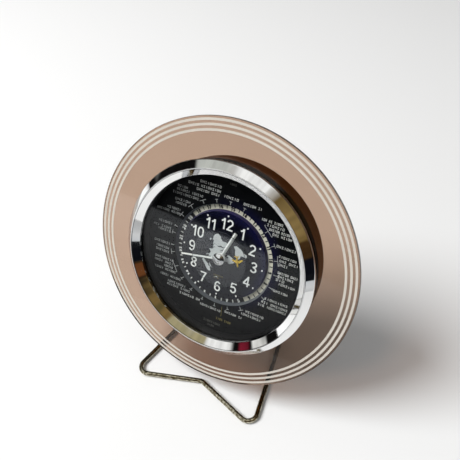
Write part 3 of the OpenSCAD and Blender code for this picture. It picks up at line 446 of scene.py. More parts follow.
# one white print in two copies: the darker one is painted shade on the far left rows, and the zone ticks use it too
ROW_PRINT_SHADED = solid("row_print_shaded", srgb(172, 174, 172), rough=0.45, vary=0.08, grain=1500)
ROW_PRINT_LIT = solid("row_print_lit", srgb(214, 215, 210), rough=0.45, vary=0.08, grain=1500)
DIM_PRINT = solid("dim_print", srgb(82, 82, 76), rough=0.5, vary=0.1, grain=1500)
GOLD_PRINT = solid("gold_print", srgb(128, 116, 62), rough=0.4, vary=0.12, metallic=0.4, grain=1500)
LAND = solid("land_print", srgb(208, 211, 208), rough=0.5, vary=0.07, grain=1500, blotch=220)
COAST = solid("coast_print", srgb(120, 128, 126), rough=0.5, vary=0.1, grain=1500)
RING_DAY = solid("ring_print", srgb(214, 211, 194), rough=0.4, vary=0.05, grain=900, blotch=60)
RING_NIGHT = solid("ring_night", srgb(22, 22, 24), rough=0.32, vary=0.15, grain=900, blotch=60)
RING_INK = solid("ring_ink", srgb(20, 18, 15), rough=0.45, vary=0.1, grain=1500)
# painted sheen: the twelve hour dial's skirt, in a paler blue than the dial
SKIRT_SHEEN = solid("skirt_painted_sheen", srgb(46, 42, 78), rough=0.35, vary=0.15, grain=900, spec=0.3)
RECESS = solid("recess_grey", srgb(88, 92, 95), rough=0.45, vary=0.1, grain=900)
CARRIER = solid("ring_carrier", srgb(206, 205, 198), rough=0.5, vary=0.06)
BARREL = solid("barrel_brown", srgb(116, 74, 8), rough=0.5, vary=0.14, grain=700, rough_vary=0.06, spec=0.06,
               blotch=18)
# painted shade: a dark line laid along the bezel's crest
CREST_SHADE = solid("crest_painted_shade", srgb(26, 24, 22), rough=0.4, vary=0.3)
CLAMP = solid("clamp_black", srgb(6, 5, 5), rough=0.5, vary=0.2, spec=0.04)
COVER = solid("cover_black", srgb(27, 27, 29), rough=0.52, vary=0.12, grain=1600, bump_mm=0.05)
KNOB = solid("knob_black", srgb(24, 24, 26), rough=0.42, vary=0.15, grain=1600, bump_mm=0.03)
HAND = solid("hand_white", srgb(240, 240, 234), rough=0.32, vary=0.03, grain=900)
GOLD = solid("gold", (0.93, 0.66, 0.11), rough=0.28, metallic=0.55, vary=0.12, grain=1200, spec=0.6, coat=0.3)
BRASS = brushed("brass", (0.74, 0.55, 0.25), rough=0.24)
NYLON = solid("nylon", srgb(226, 225, 216), rough=0.42, vary=0.05, coat=0.1)
ARBOR = brushed("arbor_steel", (0.62, 0.62, 0.61), rough=0.2)
SCREW = brushed("screw_steel", (0.56, 0.56, 0.57), rough=0.24, wear=0.35, scale=900)
STATOR = brushed("stator_iron", (0.46, 0.46, 0.47), rough=0.35)
COPPER = brushed("coil_copper", (0.62, 0.30, 0.13), rough=0.3, stretch=(60, 1, 1), scale=90)
BOARD = solid("board_green", srgb(22, 88, 48), rough=0.35, vary=0.2, coat=0.3, blotch=300)
CELL = solid("battery_shell", srgb(46, 48, 54), rough=0.3, metallic=0.5, vary=0.1, coat=0.4)
CONTACT = brushed("contact_steel", (0.68, 0.68, 0.66), rough=0.22)
MAGNET = brushed("magnet", (0.22, 0.22, 0.24), rough=0.4)
WIRE = brushed("stand_steel", (0.74, 0.70, 0.57), rough=0.11, scale=420.0, dirt=(0.09, 0.07, 0.022), blotch=560.0,
               worn=0.06)

NODE_LOOKS = {
    "rehaut_ring": REHAUT, "zone_dial": DIAL, "hour_dial": NAVY, "hour_dots": MARK, "dial_post": FRAME_BLACK,
    "dial_frame": FRAME_BLACK, "case_screws": SCREW, "movement_cover": NYLON, "movement_screws": SCREW,
    "stator": STATOR, "coil": COPPER, "circuit_board": BOARD, "battery": CELL, "battery_contacts": CONTACT,
    "battery_cover": COVER, "rear_cover": COVER, "hour_wheel": BRASS, "cannon_pinion": BRASS,
    "minute_wheel": NYLON, "ring_pinion": NYLON, "ring_wheel": CARRIER, "setting_knob": KNOB,
    "seconds_arbor": ARBOR, "intermediate_wheel": NYLON, "rotor": MAGNET, "third_wheel": NYLON,
    "centre_wheel": BRASS,
}
for name, look in NODE_LOOKS.items():
    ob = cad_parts[name]
    ob.data.materials.clear()
    ob.data.materials.append(look)

# ---- clear disc and stripes
disc = fillet(rect(68.8, 99.8, -2.0, -0.03), [0, 0.2, 0.2, 0], 6)
lathe("clear_disc", disc, ACRYLIC, "case", ["acrylic_disc"], n=360)
# an opaque dark ring on the disc's rim: painted shade in place of its clear edge
lathe("disc_edge_shade", fillet(rect(99.82, 100.0, -1.98, -0.05), 0.06, 2), EDGE, "case", n=360)
STRIPE_HALF = 0.82
for i, r in enumerate((90.8, 94.3, 97.7)):
    lathe("stripe_%d" % (i + 1), rect(r - STRIPE_HALF, r + STRIPE_HALF, -0.029, 0.0), STRIPE, "case",
          ["disc_stripes"], n=360)

# ---- bezel, glass, case
# the crest is a small round between two straight cones; the outer cone rolls under to the foot
CREST_R, CREST_Z, CREST_ROUND, SLOPE = 67.2, 9.5, 0.55, math.radians(41.3)
LIP_R, LIP_Z = 62.1, 5.0
middle = CREST_Z - CREST_ROUND / math.cos(SLOPE)
crown = [(CREST_R + CREST_ROUND * math.sin(a), middle + CREST_ROUND * math.cos(a))
         for a in (SLOPE * k / 6 for k in range(-6, 7))]
roll = [(71.9, 5.36), (72.06, 5.2), (72.26, 4.93), (72.4, 4.6), (72.46, 4.2), (72.42, 3.75), (72.25, 3.1),
        (71.95, 2.3), (71.5, 1.1), (70.95, 0.02)]
inside = [(68.6, 0.02), (68.6, -9.95), (66.4, -9.95), (66.4, 0.92), (64.05, 0.92), (64.05, 2.95), (LIP_R, 2.95),
          (LIP_R, LIP_Z - 0.12), (LIP_R + 0.10, LIP_Z)]
lathe("bezel_ring", crown + roll + inside, BEZEL, "case", ["bezel"], n=384, sharp=28)
# a thin dark ring just inside the crest: painted shade, as of a groove between the two cones
crest_shade_outline = [(66.42, 8.83), (66.68, 9.06), (66.66, 9.085), (66.4, 8.855)]
lathe("crest_shade_line", crest_shade_outline, CREST_SHADE, "case", ["bezel"], n=384, sharp=60)
lathe("flat_glass", fillet(rect(0, 64.0, 0.9, 2.9), [0, 0.15, 0.25, 0], 4), GLASS, "case", ["crystal"])
lathe("clamp_band", fillet(rect(68.7, 71.0, -7.0, -2.06), [0, 0.25, 0.35, 0], 4), CLAMP, "case",
      ["clamp_ring"])
barrel = fillet([(68.7, -7.06), (71.0, -7.06), (69.4, -23.4), (67.0, -23.4), (67.0, -10.1), (68.7, -10.1)],
                [0, 0.3, 0.9, 0.3, 0, 0], 6)
lathe("barrel_shell", barrel, BARREL, "case", ["case_barrel"])

# ---- outer dial print
rows, bright, dim, gold_rows = Print(DIAL_Z), Print(DIAL_Z), Print(DIAL_Z), Print(DIAL_Z)
WORD_GAP, MARK_WIDE = 0.9, 0.70      # in steps from one mark to the next


def mark_row(sheet, x0, x1, y, words, height=0.0185, stroke=0.0032):
    """A row of small generic marks standing for words: counts of marks with gaps between. Measures are parts of R."""
    pitch = (x1 - x0) / (sum(words) + WORD_GAP * (len(words) - 1))
    lo, hi, s = (y - height / 2) * R, (y + height / 2) * R, stroke * R
    x, k = x0, 0
    for w in words:
        for _ in range(w):
            a, b = x * R, (x + pitch * MARK_WIDE) * R
            mid = (a + b) / 2
            form = (k * 7 + w * 3 + int(abs(y) * 100)) % 4
            if form == 0:
                sheet.line([(a + s / 2, lo), (a + s / 2, hi)], s)
                sheet.line([(b - s / 2, lo), (b - s / 2, hi)], s)
                sheet.line([(a, y * R), (b, y * R)], s)
            elif form == 1:
                sheet.line(rect(a + s / 2, b - s / 2, lo + s / 2, hi - s / 2), s, True)
            elif form == 2:
                sheet.line([(mid, lo), (mid, hi)], s * 1.15)
            else:
                sheet.line([(a, hi - s / 2), (b, hi - s / 2)], s)
                sheet.line([(mid, lo), (mid, hi)], s)
                sheet.line([(a, lo + s / 2), (b, lo + s / 2)], s)
            x += pitch
            k += 1
        x += WORD_GAP * pitch


# Rows on the outer dial: ends, height above the centre, marks in each word
ROWS = [
    (-0.25, -0.08, 0.50, [9]), (-0.34, -0.08, 0.467, [5, 9]), (-0.27, -0.085, 0.437, [6, 4]),
    (-0.057, 0.06, 0.446, [6]), (0.095, 0.235, 0.435, [6, 2]), (-0.42, -0.335, 0.418, [5]),
    (-0.425, -0.21, 0.392, [7, 6]), (-0.455, -0.24, 0.362, [13]), (-0.43, -0.30, 0.316, [6]),
    (-0.425, -0.33, 0.288, [6]), (-0.485, -0.37, 0.236, [7]), (-0.57, -0.37, 0.207, [7, 5]),
    (-0.545, -0.425, 0.11, [7]), (-0.585, -0.43, 0.07, [3, 5]), (-0.545, -0.43, 0.045, [6]),
    (-0.565, -0.425, -0.055, [8]), (-0.545, -0.43, -0.095, [7]), (-0.545, -0.425, -0.125, [7]),
    (-0.545, -0.38, -0.185, [9]), (-0.545, -0.38, -0.215, [4, 4]), (-0.46, -0.38, -0.243, [6]),
    (-0.54, -0.35, -0.272, [5, 6]), (-0.485, -0.30, -0.317, [5, 6]), (-0.415, -0.25, -0.358, [9]),
    (-0.415, -0.21, -0.385, [6, 5]), (-0.30, -0.12, -0.42, [7, 2]), (-0.12, 0.06, -0.445, [10]),
    (0.09, 0.235, -0.43, [6, 2]), (0.25, 0.395, -0.36, [8]), (0.215, 0.38, -0.39, [9]), (0.37, 0.55, -0.20, [9]),
    (0.35, 0.555, -0.233, [3, 7]), (0.33, 0.55, -0.262, [3, 9]), (0.42, 0.53, -0.115, [6]),
    (0.425, 0.575, 0.03, [6, 4]), (0.43, 0.55, 0.002, [7]), (0.42, 0.49, -0.025, [3]), (0.445, 0.57, -0.052, [7]),
    (0.41, 0.54, 0.15, [8]), (0.42, 0.56, 0.12, [3, 4]), (0.42, 0.49, 0.09, [4]), (0.38, 0.525, 0.218, [8]),
    (0.24, 0.40, 0.372, [3, 2, 5]), (0.285, 0.415, 0.345, [7]), (0.305, 0.46, 0.317, [6, 5]),
    (0.335, 0.48, 0.29, [3, 5]),
]
# rows that start at the far left take the darker copy of the print: painted shade
for x0, x1, y, words in ROWS:
    mark_row(rows if x0 < -0.35 else bright, x0, x1, y, words, 0.0178, 0.0027)

# Zone ticks: angle, stem beyond the usual, half length of the bracket across it
TICKS = [(90, 0.0, 0.010), (75, 0.0, 0.011), (45, 0.006, 0.046), (30, 0.004, 0.018), (15, 0.004, 0.036),
         (0, 0.018, 0.030), (345, 0.006, 0.008), (330, 0.004, 0.020), (300, 0.006, 0.020), (285, 0.0, 0.012),
         (270, 0.0, 0.010), (255, 0.0, 0.010), (240, 0.0, 0.014), (225, 0.004, 0.010), (211, 0.010, 0.046),
         (195, 0.006, 0.022), (187, 0.0, 0.006), (173, 0.004, 0.016), (165, 0.002, 0.008), (150, 0.002, 0.024),
         (135, 0.004, 0.026), (120, 0.004, 0.026), (105, 0.0, 0.011)]
TICK_FROM, TICK_TO, TICK_WIDE, HOOK = 0.396, 0.419, 0.36, 0.8
for angle, extra, half in TICKS:
    u, v = Vector(polar(1, angle)), Vector(polar(1, angle + 90))
    r0, r1 = TICK_FROM * R, (TICK_TO + extra) * R
    rows.line([u * r0, u * r1], TICK_WIDE)
    rows.line([u * r1 - v * half * R, u * r1 + v * half * R], TICK_WIDE)
    if half > 0.03:
        for s in (-1, 1):
            rows.line([u * r1 + v * s * half * R, u * (r1 + HOOK) + v * s * half * 0.98 * R], TICK_WIDE)
# Change of date: a gold line with a generic row under it
gold_rows.line([(6.2, -40), (6.6, -48.5)], 0.32)
mark_row(gold_rows, 0.03, 0.155, -0.512, [4, 4], 0.019)
mark_row(dim, -0.07, 0.075, -0.563, [9], 0.019)
mark_row(dim, -0.032, 0.028, -0.592, [4], 0.015)
mark_row(dim, -0.03, 0.027, 0.545, [4], 0.015)

rows.done("zone_marks", ROW_PRINT_SHADED, "case", "marker_white")
bright.done("zone_marks_lit", ROW_PRINT_LIT, "case", "marker_white")
dim.done("dim_marks", DIM_PRINT, "case", "marker_white")
gold_rows.done("date_line", GOLD_PRINT, "case", "gold")

# Bevelled wall of the window round the day and night ring, and the skirt of the twelve hour dial inside it, whose pale
# blue is painted sheen
wall = [(38.69, DIAL_Z - 0.04), (37.50, RING_Z + 0.10), (37.62, RING_Z + 0.06), (38.69, DIAL_Z - 0.30)]
lathe("window_wall", wall, RECESS, "case", n=192)
skirt = [(33.34, DIAL_Z - 0.06), (34.20, RING_Z + 0.08), (34.08, RING_Z + 0.05), (33.34, DIAL_Z - 0.35)]
lathe("dial_skirt", skirt, SKIRT_SHEEN, "case", n=192)

# ---- twelve hour dial print
HOURS_R = 24.86
hours = Print(DIAL_Z)
for h in range(1, 13):
    number(hours, str(h), polar(HOURS_R, 90 - 30 * h), 8.4, 0.138, gap=0.11, narrow=0.98)
hours.done("hour_numerals", MARK, "case", "marker_white")

# Map: pole at the centre, straight distances from it, Greenwich at twelve, east to the left
LANDS = {
    "africa": [(-6, 35), (3, 37), (10, 37), (11, 33), (20, 32), (25, 32), (32, 31), (35, 27), (38, 20), (43, 12),
        (51, 12), (46, 4), (40, -3), (40, -10), (40, -15), (35, -21), (35, -25), (31, -29), (28, -33), (19, -35),
        (17, -29), (12, -18), (13, -9), (9, -1), (9, 4), (4, 6), (-5, 5), (-9, 5), (-15, 11), (-17, 15), (-17, 21),
        (-13, 27), (-10, 30)],
    "eurasia": [(-9, 37), (-9, 43), (-2, 43), (-4, 48), (2, 51), (8, 54), (10, 57), (12, 55), (20, 54), (24, 58),
        (28, 60), (22, 60), (22, 64), (17, 61), (18, 57), (13, 56), (11, 59), (5, 59), (6, 62), (14, 68), (25, 71),
        (33, 69), (40, 66), (46, 68), (60, 69), (68, 73), (80, 73), (96, 76), (105, 78), (113, 74), (130, 72),
        (145, 72), (160, 70), (179, 69), (178, 64), (170, 60), (163, 58), (157, 52), (155, 58), (156, 61), (142, 59),
        (136, 54), (141, 49), (135, 43), (129, 41), (129, 36), (126, 35), (125, 39), (118, 38), (122, 36), (120, 34),
        (122, 30), (117, 23), (108, 21), (106, 18), (109, 12), (105, 9), (101, 13), (100, 8), (104, 1), (100, 4),
        (98, 9), (98, 16), (94, 17), (90, 22), (87, 21), (80, 15), (80, 12), (77, 8), (73, 16), (72, 21), (67, 25),
        (57, 26), (51, 29), (50, 26), (56, 25), (59, 22), (55, 17), (45, 13), (43, 14), (39, 21), (35, 28), (34, 32),
        (36, 36), (30, 36), (27, 38), (26, 40), (23, 38), (22, 37), (19, 41), (13, 45), (18, 41), (16, 38), (10, 43),
        (6, 43), (3, 42), (0, 39), (-2, 37)],
    "north_america": [(-168, 66), (-163, 69), (-156, 71), (-141, 70), (-128, 70), (-115, 68), (-108, 68), (-96, 68),
        (-92, 71), (-82, 69), (-86, 66), (-93, 62), (-94, 59), (-85, 55), (-81, 51), (-79, 55), (-77, 60), (-78, 62),
        (-70, 61), (-65, 59), (-60, 55), (-57, 52), (-66, 50), (-64, 46), (-70, 43), (-74, 40), (-76, 35), (-81, 31),
        (-80, 26), (-83, 29), (-90, 30), (-97, 27), (-97, 22), (-95, 18), (-91, 19), (-87, 21), (-88, 16), (-84, 15),
        (-83, 10), (-86, 11), (-92, 14), (-96, 16), (-105, 20), (-110, 27), (-113, 31), (-110, 24), (-115, 30),
        (-120, 34), (-124, 40), (-124, 48), (-130, 54), (-137, 58), (-146, 60), (-154, 58), (-162, 55), (-158, 59),
        (-165, 62)],
    "south_america": [(-77, 8), (-72, 12), (-62, 11), (-52, 5), (-50, 0), (-40, -3), (-35, -7), (-38, -13),
        (-40, -21), (-48, -26), (-53, -33), (-58, -35), (-57, -38), (-62, -39), (-65, -43), (-68, -50), (-68, -54),
        (-73, -52), (-75, -46), (-73, -38), (-71, -30), (-70, -18), (-76, -14), (-81, -5), (-78, 2)],
    "australia": [(114, -22), (122, -18), (129, -14), (132, -12), (137, -12), (136, -15), (141, -16), (142, -11),
        (146, -18), (150, -23), (153, -28), (150, -37), (144, -38), (138, -35), (131, -32), (124, -33), (116, -35)],
    "greenland": [(-45, 60), (-52, 65), (-54, 70), (-68, 76), (-60, 82), (-30, 83), (-18, 78), (-24, 70), (-38, 65)],
    "madagascar": [(44, -17), (47, -15), (50, -15), (48, -24), (45, -25)],
    "borneo": [(109, 2), (113, 3), (117, 7), (119, 5), (117, 0), (115, -4), (110, -2)],
    "sumatra": [(95, 5), (99, 3), (103, -1), (106, -5), (101, -3)],
    "new_guinea": [(131, -1), (136, -2), (141, -3), (147, -6), (150, -10), (144, -8), (138, -8)],
    "japan": [(131, 33), (136, 36), (139, 38), (141, 43), (145, 44), (142, 40), (140, 35), (134, 33)],
    "britain": [(-5, 50), (1, 51), (0, 54), (-3, 58), (-5, 58), (-4, 54)],
    "new_zealand": [(173, -35), (178, -38), (175, -41), (170, -46), (167, -46), (172, -41)],
    "iceland": [(-23, 64), (-15, 64), (-15, 66), (-22, 66)],
}
MAP_SCALE = 0.00136 * R

def on_map(lon, lat):
    return polar((90 - lat) * MAP_SCALE, 90 + lon)


def land_points(outline):
    """An outline on the map, with steps of about four degrees so that long sides bend as they should."""
    pts = []
    for i, (lon, lat) in enumerate(outline):
        lon2, lat2 = outline[(i + 1) % len(outline)]
        steps = max(1, int(max(abs(lon2 - lon), abs(lat2 - lat)) / 4))
        for k in range(steps):
            pts.append(on_map(lon + (lon2 - lon) * k / steps, lat + (lat2 - lat) * k / steps))
    return pts


land, coast = Print(DIAL_Z, 0.012), Print(DIAL_Z, 0.022)
for outline in LANDS.values():
    pts = land_points(outline)
    land.area(pts)
    coast.line(pts, 0.09, True)
bmesh.ops.triangulate(land.bm, faces=land.bm.faces)
land.done("map_lands", LAND, "case", "marker_white")
coast.done("map_coasts", COAST, "case", "marker_white")
# Two small generic rows under the centre
low = Print(DIAL_Z)
mark_row(low, -0.045, 0.035, -0.162, [6], 0.012, 0.0026)
mark_row(low, -0.04, 0.005, -0.182, [3], 0.010, 0.0026)
low.done("low_marks", GOLD_PRINT, "case", "marker_white")

# ---- day and night ring
RING_SIX = 313.0      # angle of the numeral 6 at rest, anticlockwise from three o'clock
day0, day1 = RING_SIX - 7.5, RING_SIX + 187.5
ring = rect(30.0, 43.0, RING_Z - 1.0, RING_Z)
lathe("ring_day_half", ring, RING_DAY, "day_ring", ["day_night_ring"], a0=day0, a1=day1)
lathe("ring_night_half", ring, RING_NIGHT, "day_ring", ["day_night_ring"], a0=day1, a1=day0 + 360)
NUMBER_R, BAR_FROM, BAR_TO = 36.0, 35.1, 37.4
ink, light = Print(RING_Z), Print(RING_Z)
for h in range(24):
    sheet = ink if 6 <= h <= 18 else light
    angle = RING_SIX + 15 * (h - 6)
    number(sheet, str(h or 24), polar(NUMBER_R, angle), 3.0, 0.29, turn=math.radians(angle - 90), gap=0.14)
    # a bar half way to the next hour, but not where day and night meet
    if h not in (5, 18):
        sheet.line([polar(BAR_FROM, angle + 7.5), polar(BAR_TO, angle + 7.5)], 0.72)
ink.done("ring_numbers_day", RING_INK, "day_ring", "ring_print")
light.done("ring_numbers_night", MARK, "day_ring", "marker_white")

# ---- hands, seconds disc, aircraft, cap
MINUTE_A, HOUR_A = math.radians(90 - 258.3), math.radians(90 - 21.5)


def skin(bm, rings, first=True, last=True):
    """Faces from each ring of vertices to the next, and over the first and the last."""
    for a, b in zip(rings, rings[1:]):
        for k in range(len(a)):
            j = (k + 1) % len(a)
            bm.faces.new([a[k], a[j], b[j], b[k]])
    if first:
        bm.faces.new(rings[0])
    if last:
        bm.faces.new(rings[-1])


def blade(name, outline, z0, z1, turn, look, body, bevel, ridge=None):
    """A blade along +x with softened edges. Its outline has four corners: root low, tip low, tip high, root high.
    A ridge of ((x of root, x of tip), height) makes its top a roof."""
    bm = bmesh.new()
    bottom, top = ([bm.verts.new((x, y, z)) for x, y in outline] for z in (z0, z1))
    bm.faces.new(bottom[::-1])
    if ridge:
        ends, height = ridge
        root, tip = (bm.verts.new((x, 0, height)) for x in ends)
        bm.faces.new([top[0], top[1], tip, root])
        bm.faces.new([top[1], top[2], tip])
        bm.faces.new([top[2], top[3], root, tip])
        bm.faces.new([top[3], top[0], root])
    else:
        bm.faces.new(top)
    skin(bm, [bottom, top], False, False)
    bmesh.ops.recalc_face_normals(bm, faces=bm.faces)
    edges = [e for e in bm.edges if e.calc_face_angle(0) > math.radians(40)]
    bmesh.ops.bevel(bm, geom=edges, offset=bevel, segments=2, affect="EDGES")
    bmesh.ops.rotate(bm, verts=bm.verts, cent=(0, 0, 0), matrix=Matrix.Rotation(turn, 3, "Z"))
    finish_mesh(name, bm, look, body, sharp=30)


blade("minute_blade", [(1.6, -0.75), (30.6, -0.56), (30.6, 0.56), (1.6, 0.75)], -2.2, -1.7, MINUTE_A, HAND, "minute",
      0.1)
lathe("minute_boss", fillet(rect(1.42, 3.0, -2.2, -1.7), 0.12, 3), HAND, "minute", ["minute_hand"], n=96)
blade("hour_blade", rect(2.6, 22.8, -1.25, 1.25), -5.4, -5.05, HOUR_A, HAND, "hour", 0.05,
      ((2.6, 22.75), -4.15))
lathe("hour_boss", fillet(rect(2.25, 3.4, -5.45, -4.3), 0.12, 3), HAND, "hour", ["hour_hand"], n=96)

lathe("seconds_plate", rect(0.62, 20.9, -1.5, -0.9), SECONDS_CLEAR, "seconds", ["seconds_disc"], n=192)
lathe("seconds_rim", fillet(rect(20.9, 21.0, -1.5, -0.9), 0.02, 2), RIM, "seconds", n=192)
DOME_R, DOME_H, DOME_FOOT = 3.9, 1.0, -0.55
sphere = (DOME_R ** 2 + DOME_H ** 2) / (2 * DOME_H)
edge = math.asin(DOME_R / sphere)
cap = [(sphere * math.sin(t), DOME_FOOT + DOME_H - sphere * (1 - math.cos(t)))
       for t in (edge * i / 16 for i in range(17))]
cap += [(4.05, -0.56), (4.25, -0.60), (4.55, -0.72), (4.6, -0.8), (4.6, -0.88), (0, -0.88)]
lathe("cap_dome", cap, CAP, "seconds", ["hub_cap"], n=128, sharp=50)

# Aircraft seen from above: body, swept wings with engines, fin. It flies clockwise, along +y of its own frame,
# and its right wing is toward +x.
AIR_A, AIR_R, AIR_L, AIR_Z = 90 - 75, 15.2, 8.6, -0.25
AIR_PLACE = (Matrix.Translation((*polar(AIR_R, AIR_A), 0)) @ Matrix.Rotation(math.radians(AIR_A) - math.pi, 4, "Z"))


def air_piece(name, build, replaces=()):
    bm = bmesh.new()
    build(bm)
    bmesh.ops.transform(bm, matrix=AIR_PLACE, verts=bm.verts)
    finish_mesh(name, bm, GOLD, "seconds", replaces, 40)


def hoop(bm, x, y, z, r, n):
    """A ring of vertices across the line of flight."""
    turns = [2 * math.pi * k / n for k in range(n)]
    return [bm.verts.new((x + r * math.cos(t), y, z + r * math.sin(t))) for t in turns]


def air_body(bm):
    # how far along, how thick
    stations = [(-1.0, 0.06), (-0.9, 0.30), (-0.72, 0.55), (-0.5, 0.78), (-0.2, 0.95), (0.1, 1.0), (0.5, 1.0),
                (0.68, 0.96), (0.8, 0.84), (0.9, 0.62), (0.96, 0.38), (1.0, 0.05)]
    skin(bm, [hoop(bm, 0, s * AIR_L / 2, AIR_Z, 0.62 * w, 20) for s, w in stations])


def wing(bm, root_f, root_b, tip_x, tip_f, tip_b, z_root, z_tip, t_root, t_tip):
    """A pair of tapered wings of lens section."""
    for s in (-1, 1):
        sections = []
        for u in (0.0, 0.35, 0.7, 1.0):
            f, b = root_f + (tip_f - root_f) * u, root_b + (tip_b - root_b) * u
            z, t = z_root + (z_tip - z_root) * u, t_root + (t_tip - t_root) * u
            c = f - b
            sections.append([bm.verts.new((s * tip_x * u, y, zz)) for y, zz in (
                (f, z), (f - 0.15 * c, z + t * 0.8), (f - 0.4 * c, z + t), (f - 0.75 * c, z + t * 0.5), (b, z),
                (f - 0.6 * c, z - t * 0.5), (f - 0.2 * c, z - t * 0.5))])
        skin(bm, sections, first=False)


def air_wings(bm):
    wing(bm, 2.0, -0.4, 4.2, -0.65, -1.5, AIR_Z - 0.2, AIR_Z - 0.05, 0.2, 0.1)
    wing(bm, -2.5, -3.7, 1.75, -3.5, -4.2, AIR_Z + 0.05, AIR_Z + 0.1, 0.14, 0.08)
    # engines: how far along, how thick; each stretch has its own rings, so that its edges stay crisp
    engine = [(0.55, 0.22), (0.3, 0.30), (-0.3, 0.26), (-0.6, 0.12)]
    for x, y in ((1.35, 0.75), (-1.35, 0.75), (2.55, 0.05), (-2.55, 0.05)):
        for k in range(3):
            skin(bm, [hoop(bm, x, y + s, AIR_Z - 0.32, r, 12) for s, r in engine[k:k + 2]], k == 0, k == 2)


def air_fin(bm):
    outline = [(-2.6, 0.1), (-3.7, 0.86), (-4.25, 0.86), (-4.1, 0.1)]
    skin(bm, [[bm.verts.new((x, y, AIR_Z + z)) for y, z in outline] for x in (-0.11, 0.11)])


air_piece("aircraft_body", air_body, ["aircraft"])
air_piece("aircraft_wings", air_wings)
air_piece("aircraft_fin", air_fin)

# ---- wire stand
# From the tip in its socket back to a turn, down to the floor, forward to a corner and in to the dip at the middle.
# The tip and the turn are in the face's frame, the rest lies on the floor, measured from below the disc.
WIRE_R, BEND, CORNER_BEND, DIP_BEND = 1.9, 5.0, 7.0, 4.0
SOCKET_X, SOCKET_Y, TIP_Z, TURN_Z = 39.1, -22, -17.45, -41
REAR_Y, CORNER_X, FRONT_Y, DIP = 35, 53.2, -50.4, 17.7
shift = ORIGIN.y / MM
half_path = [FACE @ Vector((SOCKET_X, SOCKET_Y, z)) / MM for z in (TIP_Z, TURN_Z)]
half_path += [Vector((SOCKET_X, REAR_Y + shift, WIRE_R)), Vector((CORNER_X, FRONT_Y + shift, WIRE_R))]
dip = Vector((0, FRONT_Y + DIP + shift, WIRE_R))
path = half_path + [dip] + [Vector((-p.x, p.y, p.z)) for p in reversed(half_path)]
bends = [0, BEND, BEND, CORNER_BEND, DIP_BEND, CORNER_BEND, BEND, BEND, 0]


def smooth_path(points, radii, step=2.0):
    """Points along straight runs, with a round bend of its own radius at each corner."""
    out = [points[0]]

    def run_to(end):
        start = out[-1]
        count = max(1, int((end - start).length / step))
        for k in range(1, count + 1):
            out.append(start.lerp(end, k / count))

    for a, p, b, r in zip(points, points[1:], points[2:], radii[1:]):
        u, v = (p - a).normalized(), (b - p).normalized()
        angle = u.angle(v)
        start = p - u * (r * math.tan(angle / 2))
        inward = (v - u * u.dot(v)).normalized()
        centre = start + inward * r
        run_to(start)
        count = max(6, int(math.degrees(angle) / 5))
        for k in range(1, count + 1):
            t = angle * k / count
            out.append(centre - inward * r * math.cos(t) + u * r * math.sin(t))
    run_to(points[-1])
    return out


def tube(name, points, radius, look, body, replaces, sides=28):
    """A round bar along points in mm of the frame."""
    bm = bmesh.new()
    last = len(points) - 1
    tangents = [(points[min(i + 1, last)] - points[max(i - 1, 0)]).normalized() for i in range(last + 1)]
    turns = [2 * math.pi * k / sides for k in range(sides)]
    normal = tangents[0].orthogonal().normalized()
    rings = []
    for p, t in zip(points, tangents):
        normal = (normal - t * normal.dot(t)).normalized()
        side = t.cross(normal)
        rings.append([bm.verts.new(p + (normal * math.cos(a) + side * math.sin(a)) * radius) for a in turns])
    skin(bm, rings)
    bmesh.ops.scale(bm, vec=(MM, MM, MM), verts=bm.verts)
    finish_mesh(name, bm, look, body, replaces, 40, in_face=False)


tube("bent_wire", smooth_path(path, bends), WIRE_R, WIRE, "stand", ["wire_stand"])

# ---- floor
# Plain and pale. Where it is mirrored, its front part glows instead, as a dark room with bright windows, in
# bands that run across at a slant.
SLANT, FRONT = -0.38, -0.2
bpy.ops.mesh.primitive_plane_add(size=8.0, location=(0, 0, -0.0002))
floor = bpy.context.object
floor.name = "floor"
floor_look, nt, p = material("floor")
put(nt, p, {"Roughness": 0.75, "Specular IOR Level": 0.25, "Base Color": (0.86, 0.86, 0.855, 1)})
spot = node(nt, "SeparateXYZ", {"Vector": coords(nt)}).outputs
seen = ramp(nt, span(nt, calc(nt, "MULTIPLY_ADD", spot["X"], SLANT, spot["Y"]), -1.136, -0.086), [
    (0.0, (0.01, 0.011, 0.014)), (0.26, (0.012, 0.013, 0.016)), (0.30, (0.86, 0.89, 0.93)), (0.64, (0.96, 0.97, 0.98)),
    (0.78, (0.72, 0.73, 0.74)), (0.86, (0.66, 0.66, 0.66)), (1.0, (0.92, 0.92, 0.92))])
glow = node(nt, "Emission", {"Color": seen, "Strength": span(nt, spot["X"], -0.5, -0.08, 1.25, 0.7)})
ray = node(nt, "LightPath", {}).outputs
mirror = calc(nt, "MULTIPLY", ray["Is Glossy Ray"], calc(nt, "GREATER_THAN", ray["Glossy Depth"], 0.5))
front = calc(nt, "LESS_THAN", spot["Y"], FRONT)
lit = mixed(nt, calc(nt, "MULTIPLY", front, mirror), p.outputs["BSDF"], glow.outputs["Emission"])
put(nt, nt.nodes["Material Output"], {"Surface": lit})
floor.data.materials.append(floor_look)

# ---- world
world = bpy.data.worlds.new("studio")
bpy.context.scene.world = world
world.use_nodes = True
wt = world.node_tree
wt.nodes.clear()
# compass and height of a direction in degrees, with a slow wander so that no edge is straight
PER_RADIAN, WANDER = 57.29578, 15.0
toward = node(wt, "SeparateXYZ", {"Vector": coords(wt, "Generated")}).outputs
wander = calc(wt, "MULTIPLY", calc(wt, "SUBTRACT", noise(wt, 3.2, 2.0, kind="Generated"), 0.5), WANDER)
az = calc(wt, "MULTIPLY", calc(wt, "ARCTAN2", toward["X"], calc(wt, "MULTIPLY", toward["Y"], -1.0)), PER_RADIAN)
el = calc(wt, "MULTIPLY", calc(wt, "ARCSINE", toward["Z"]), PER_RADIAN)
az, el = calc(wt, "ADD", az, wander), calc(wt, "SUBTRACT", el, wander)


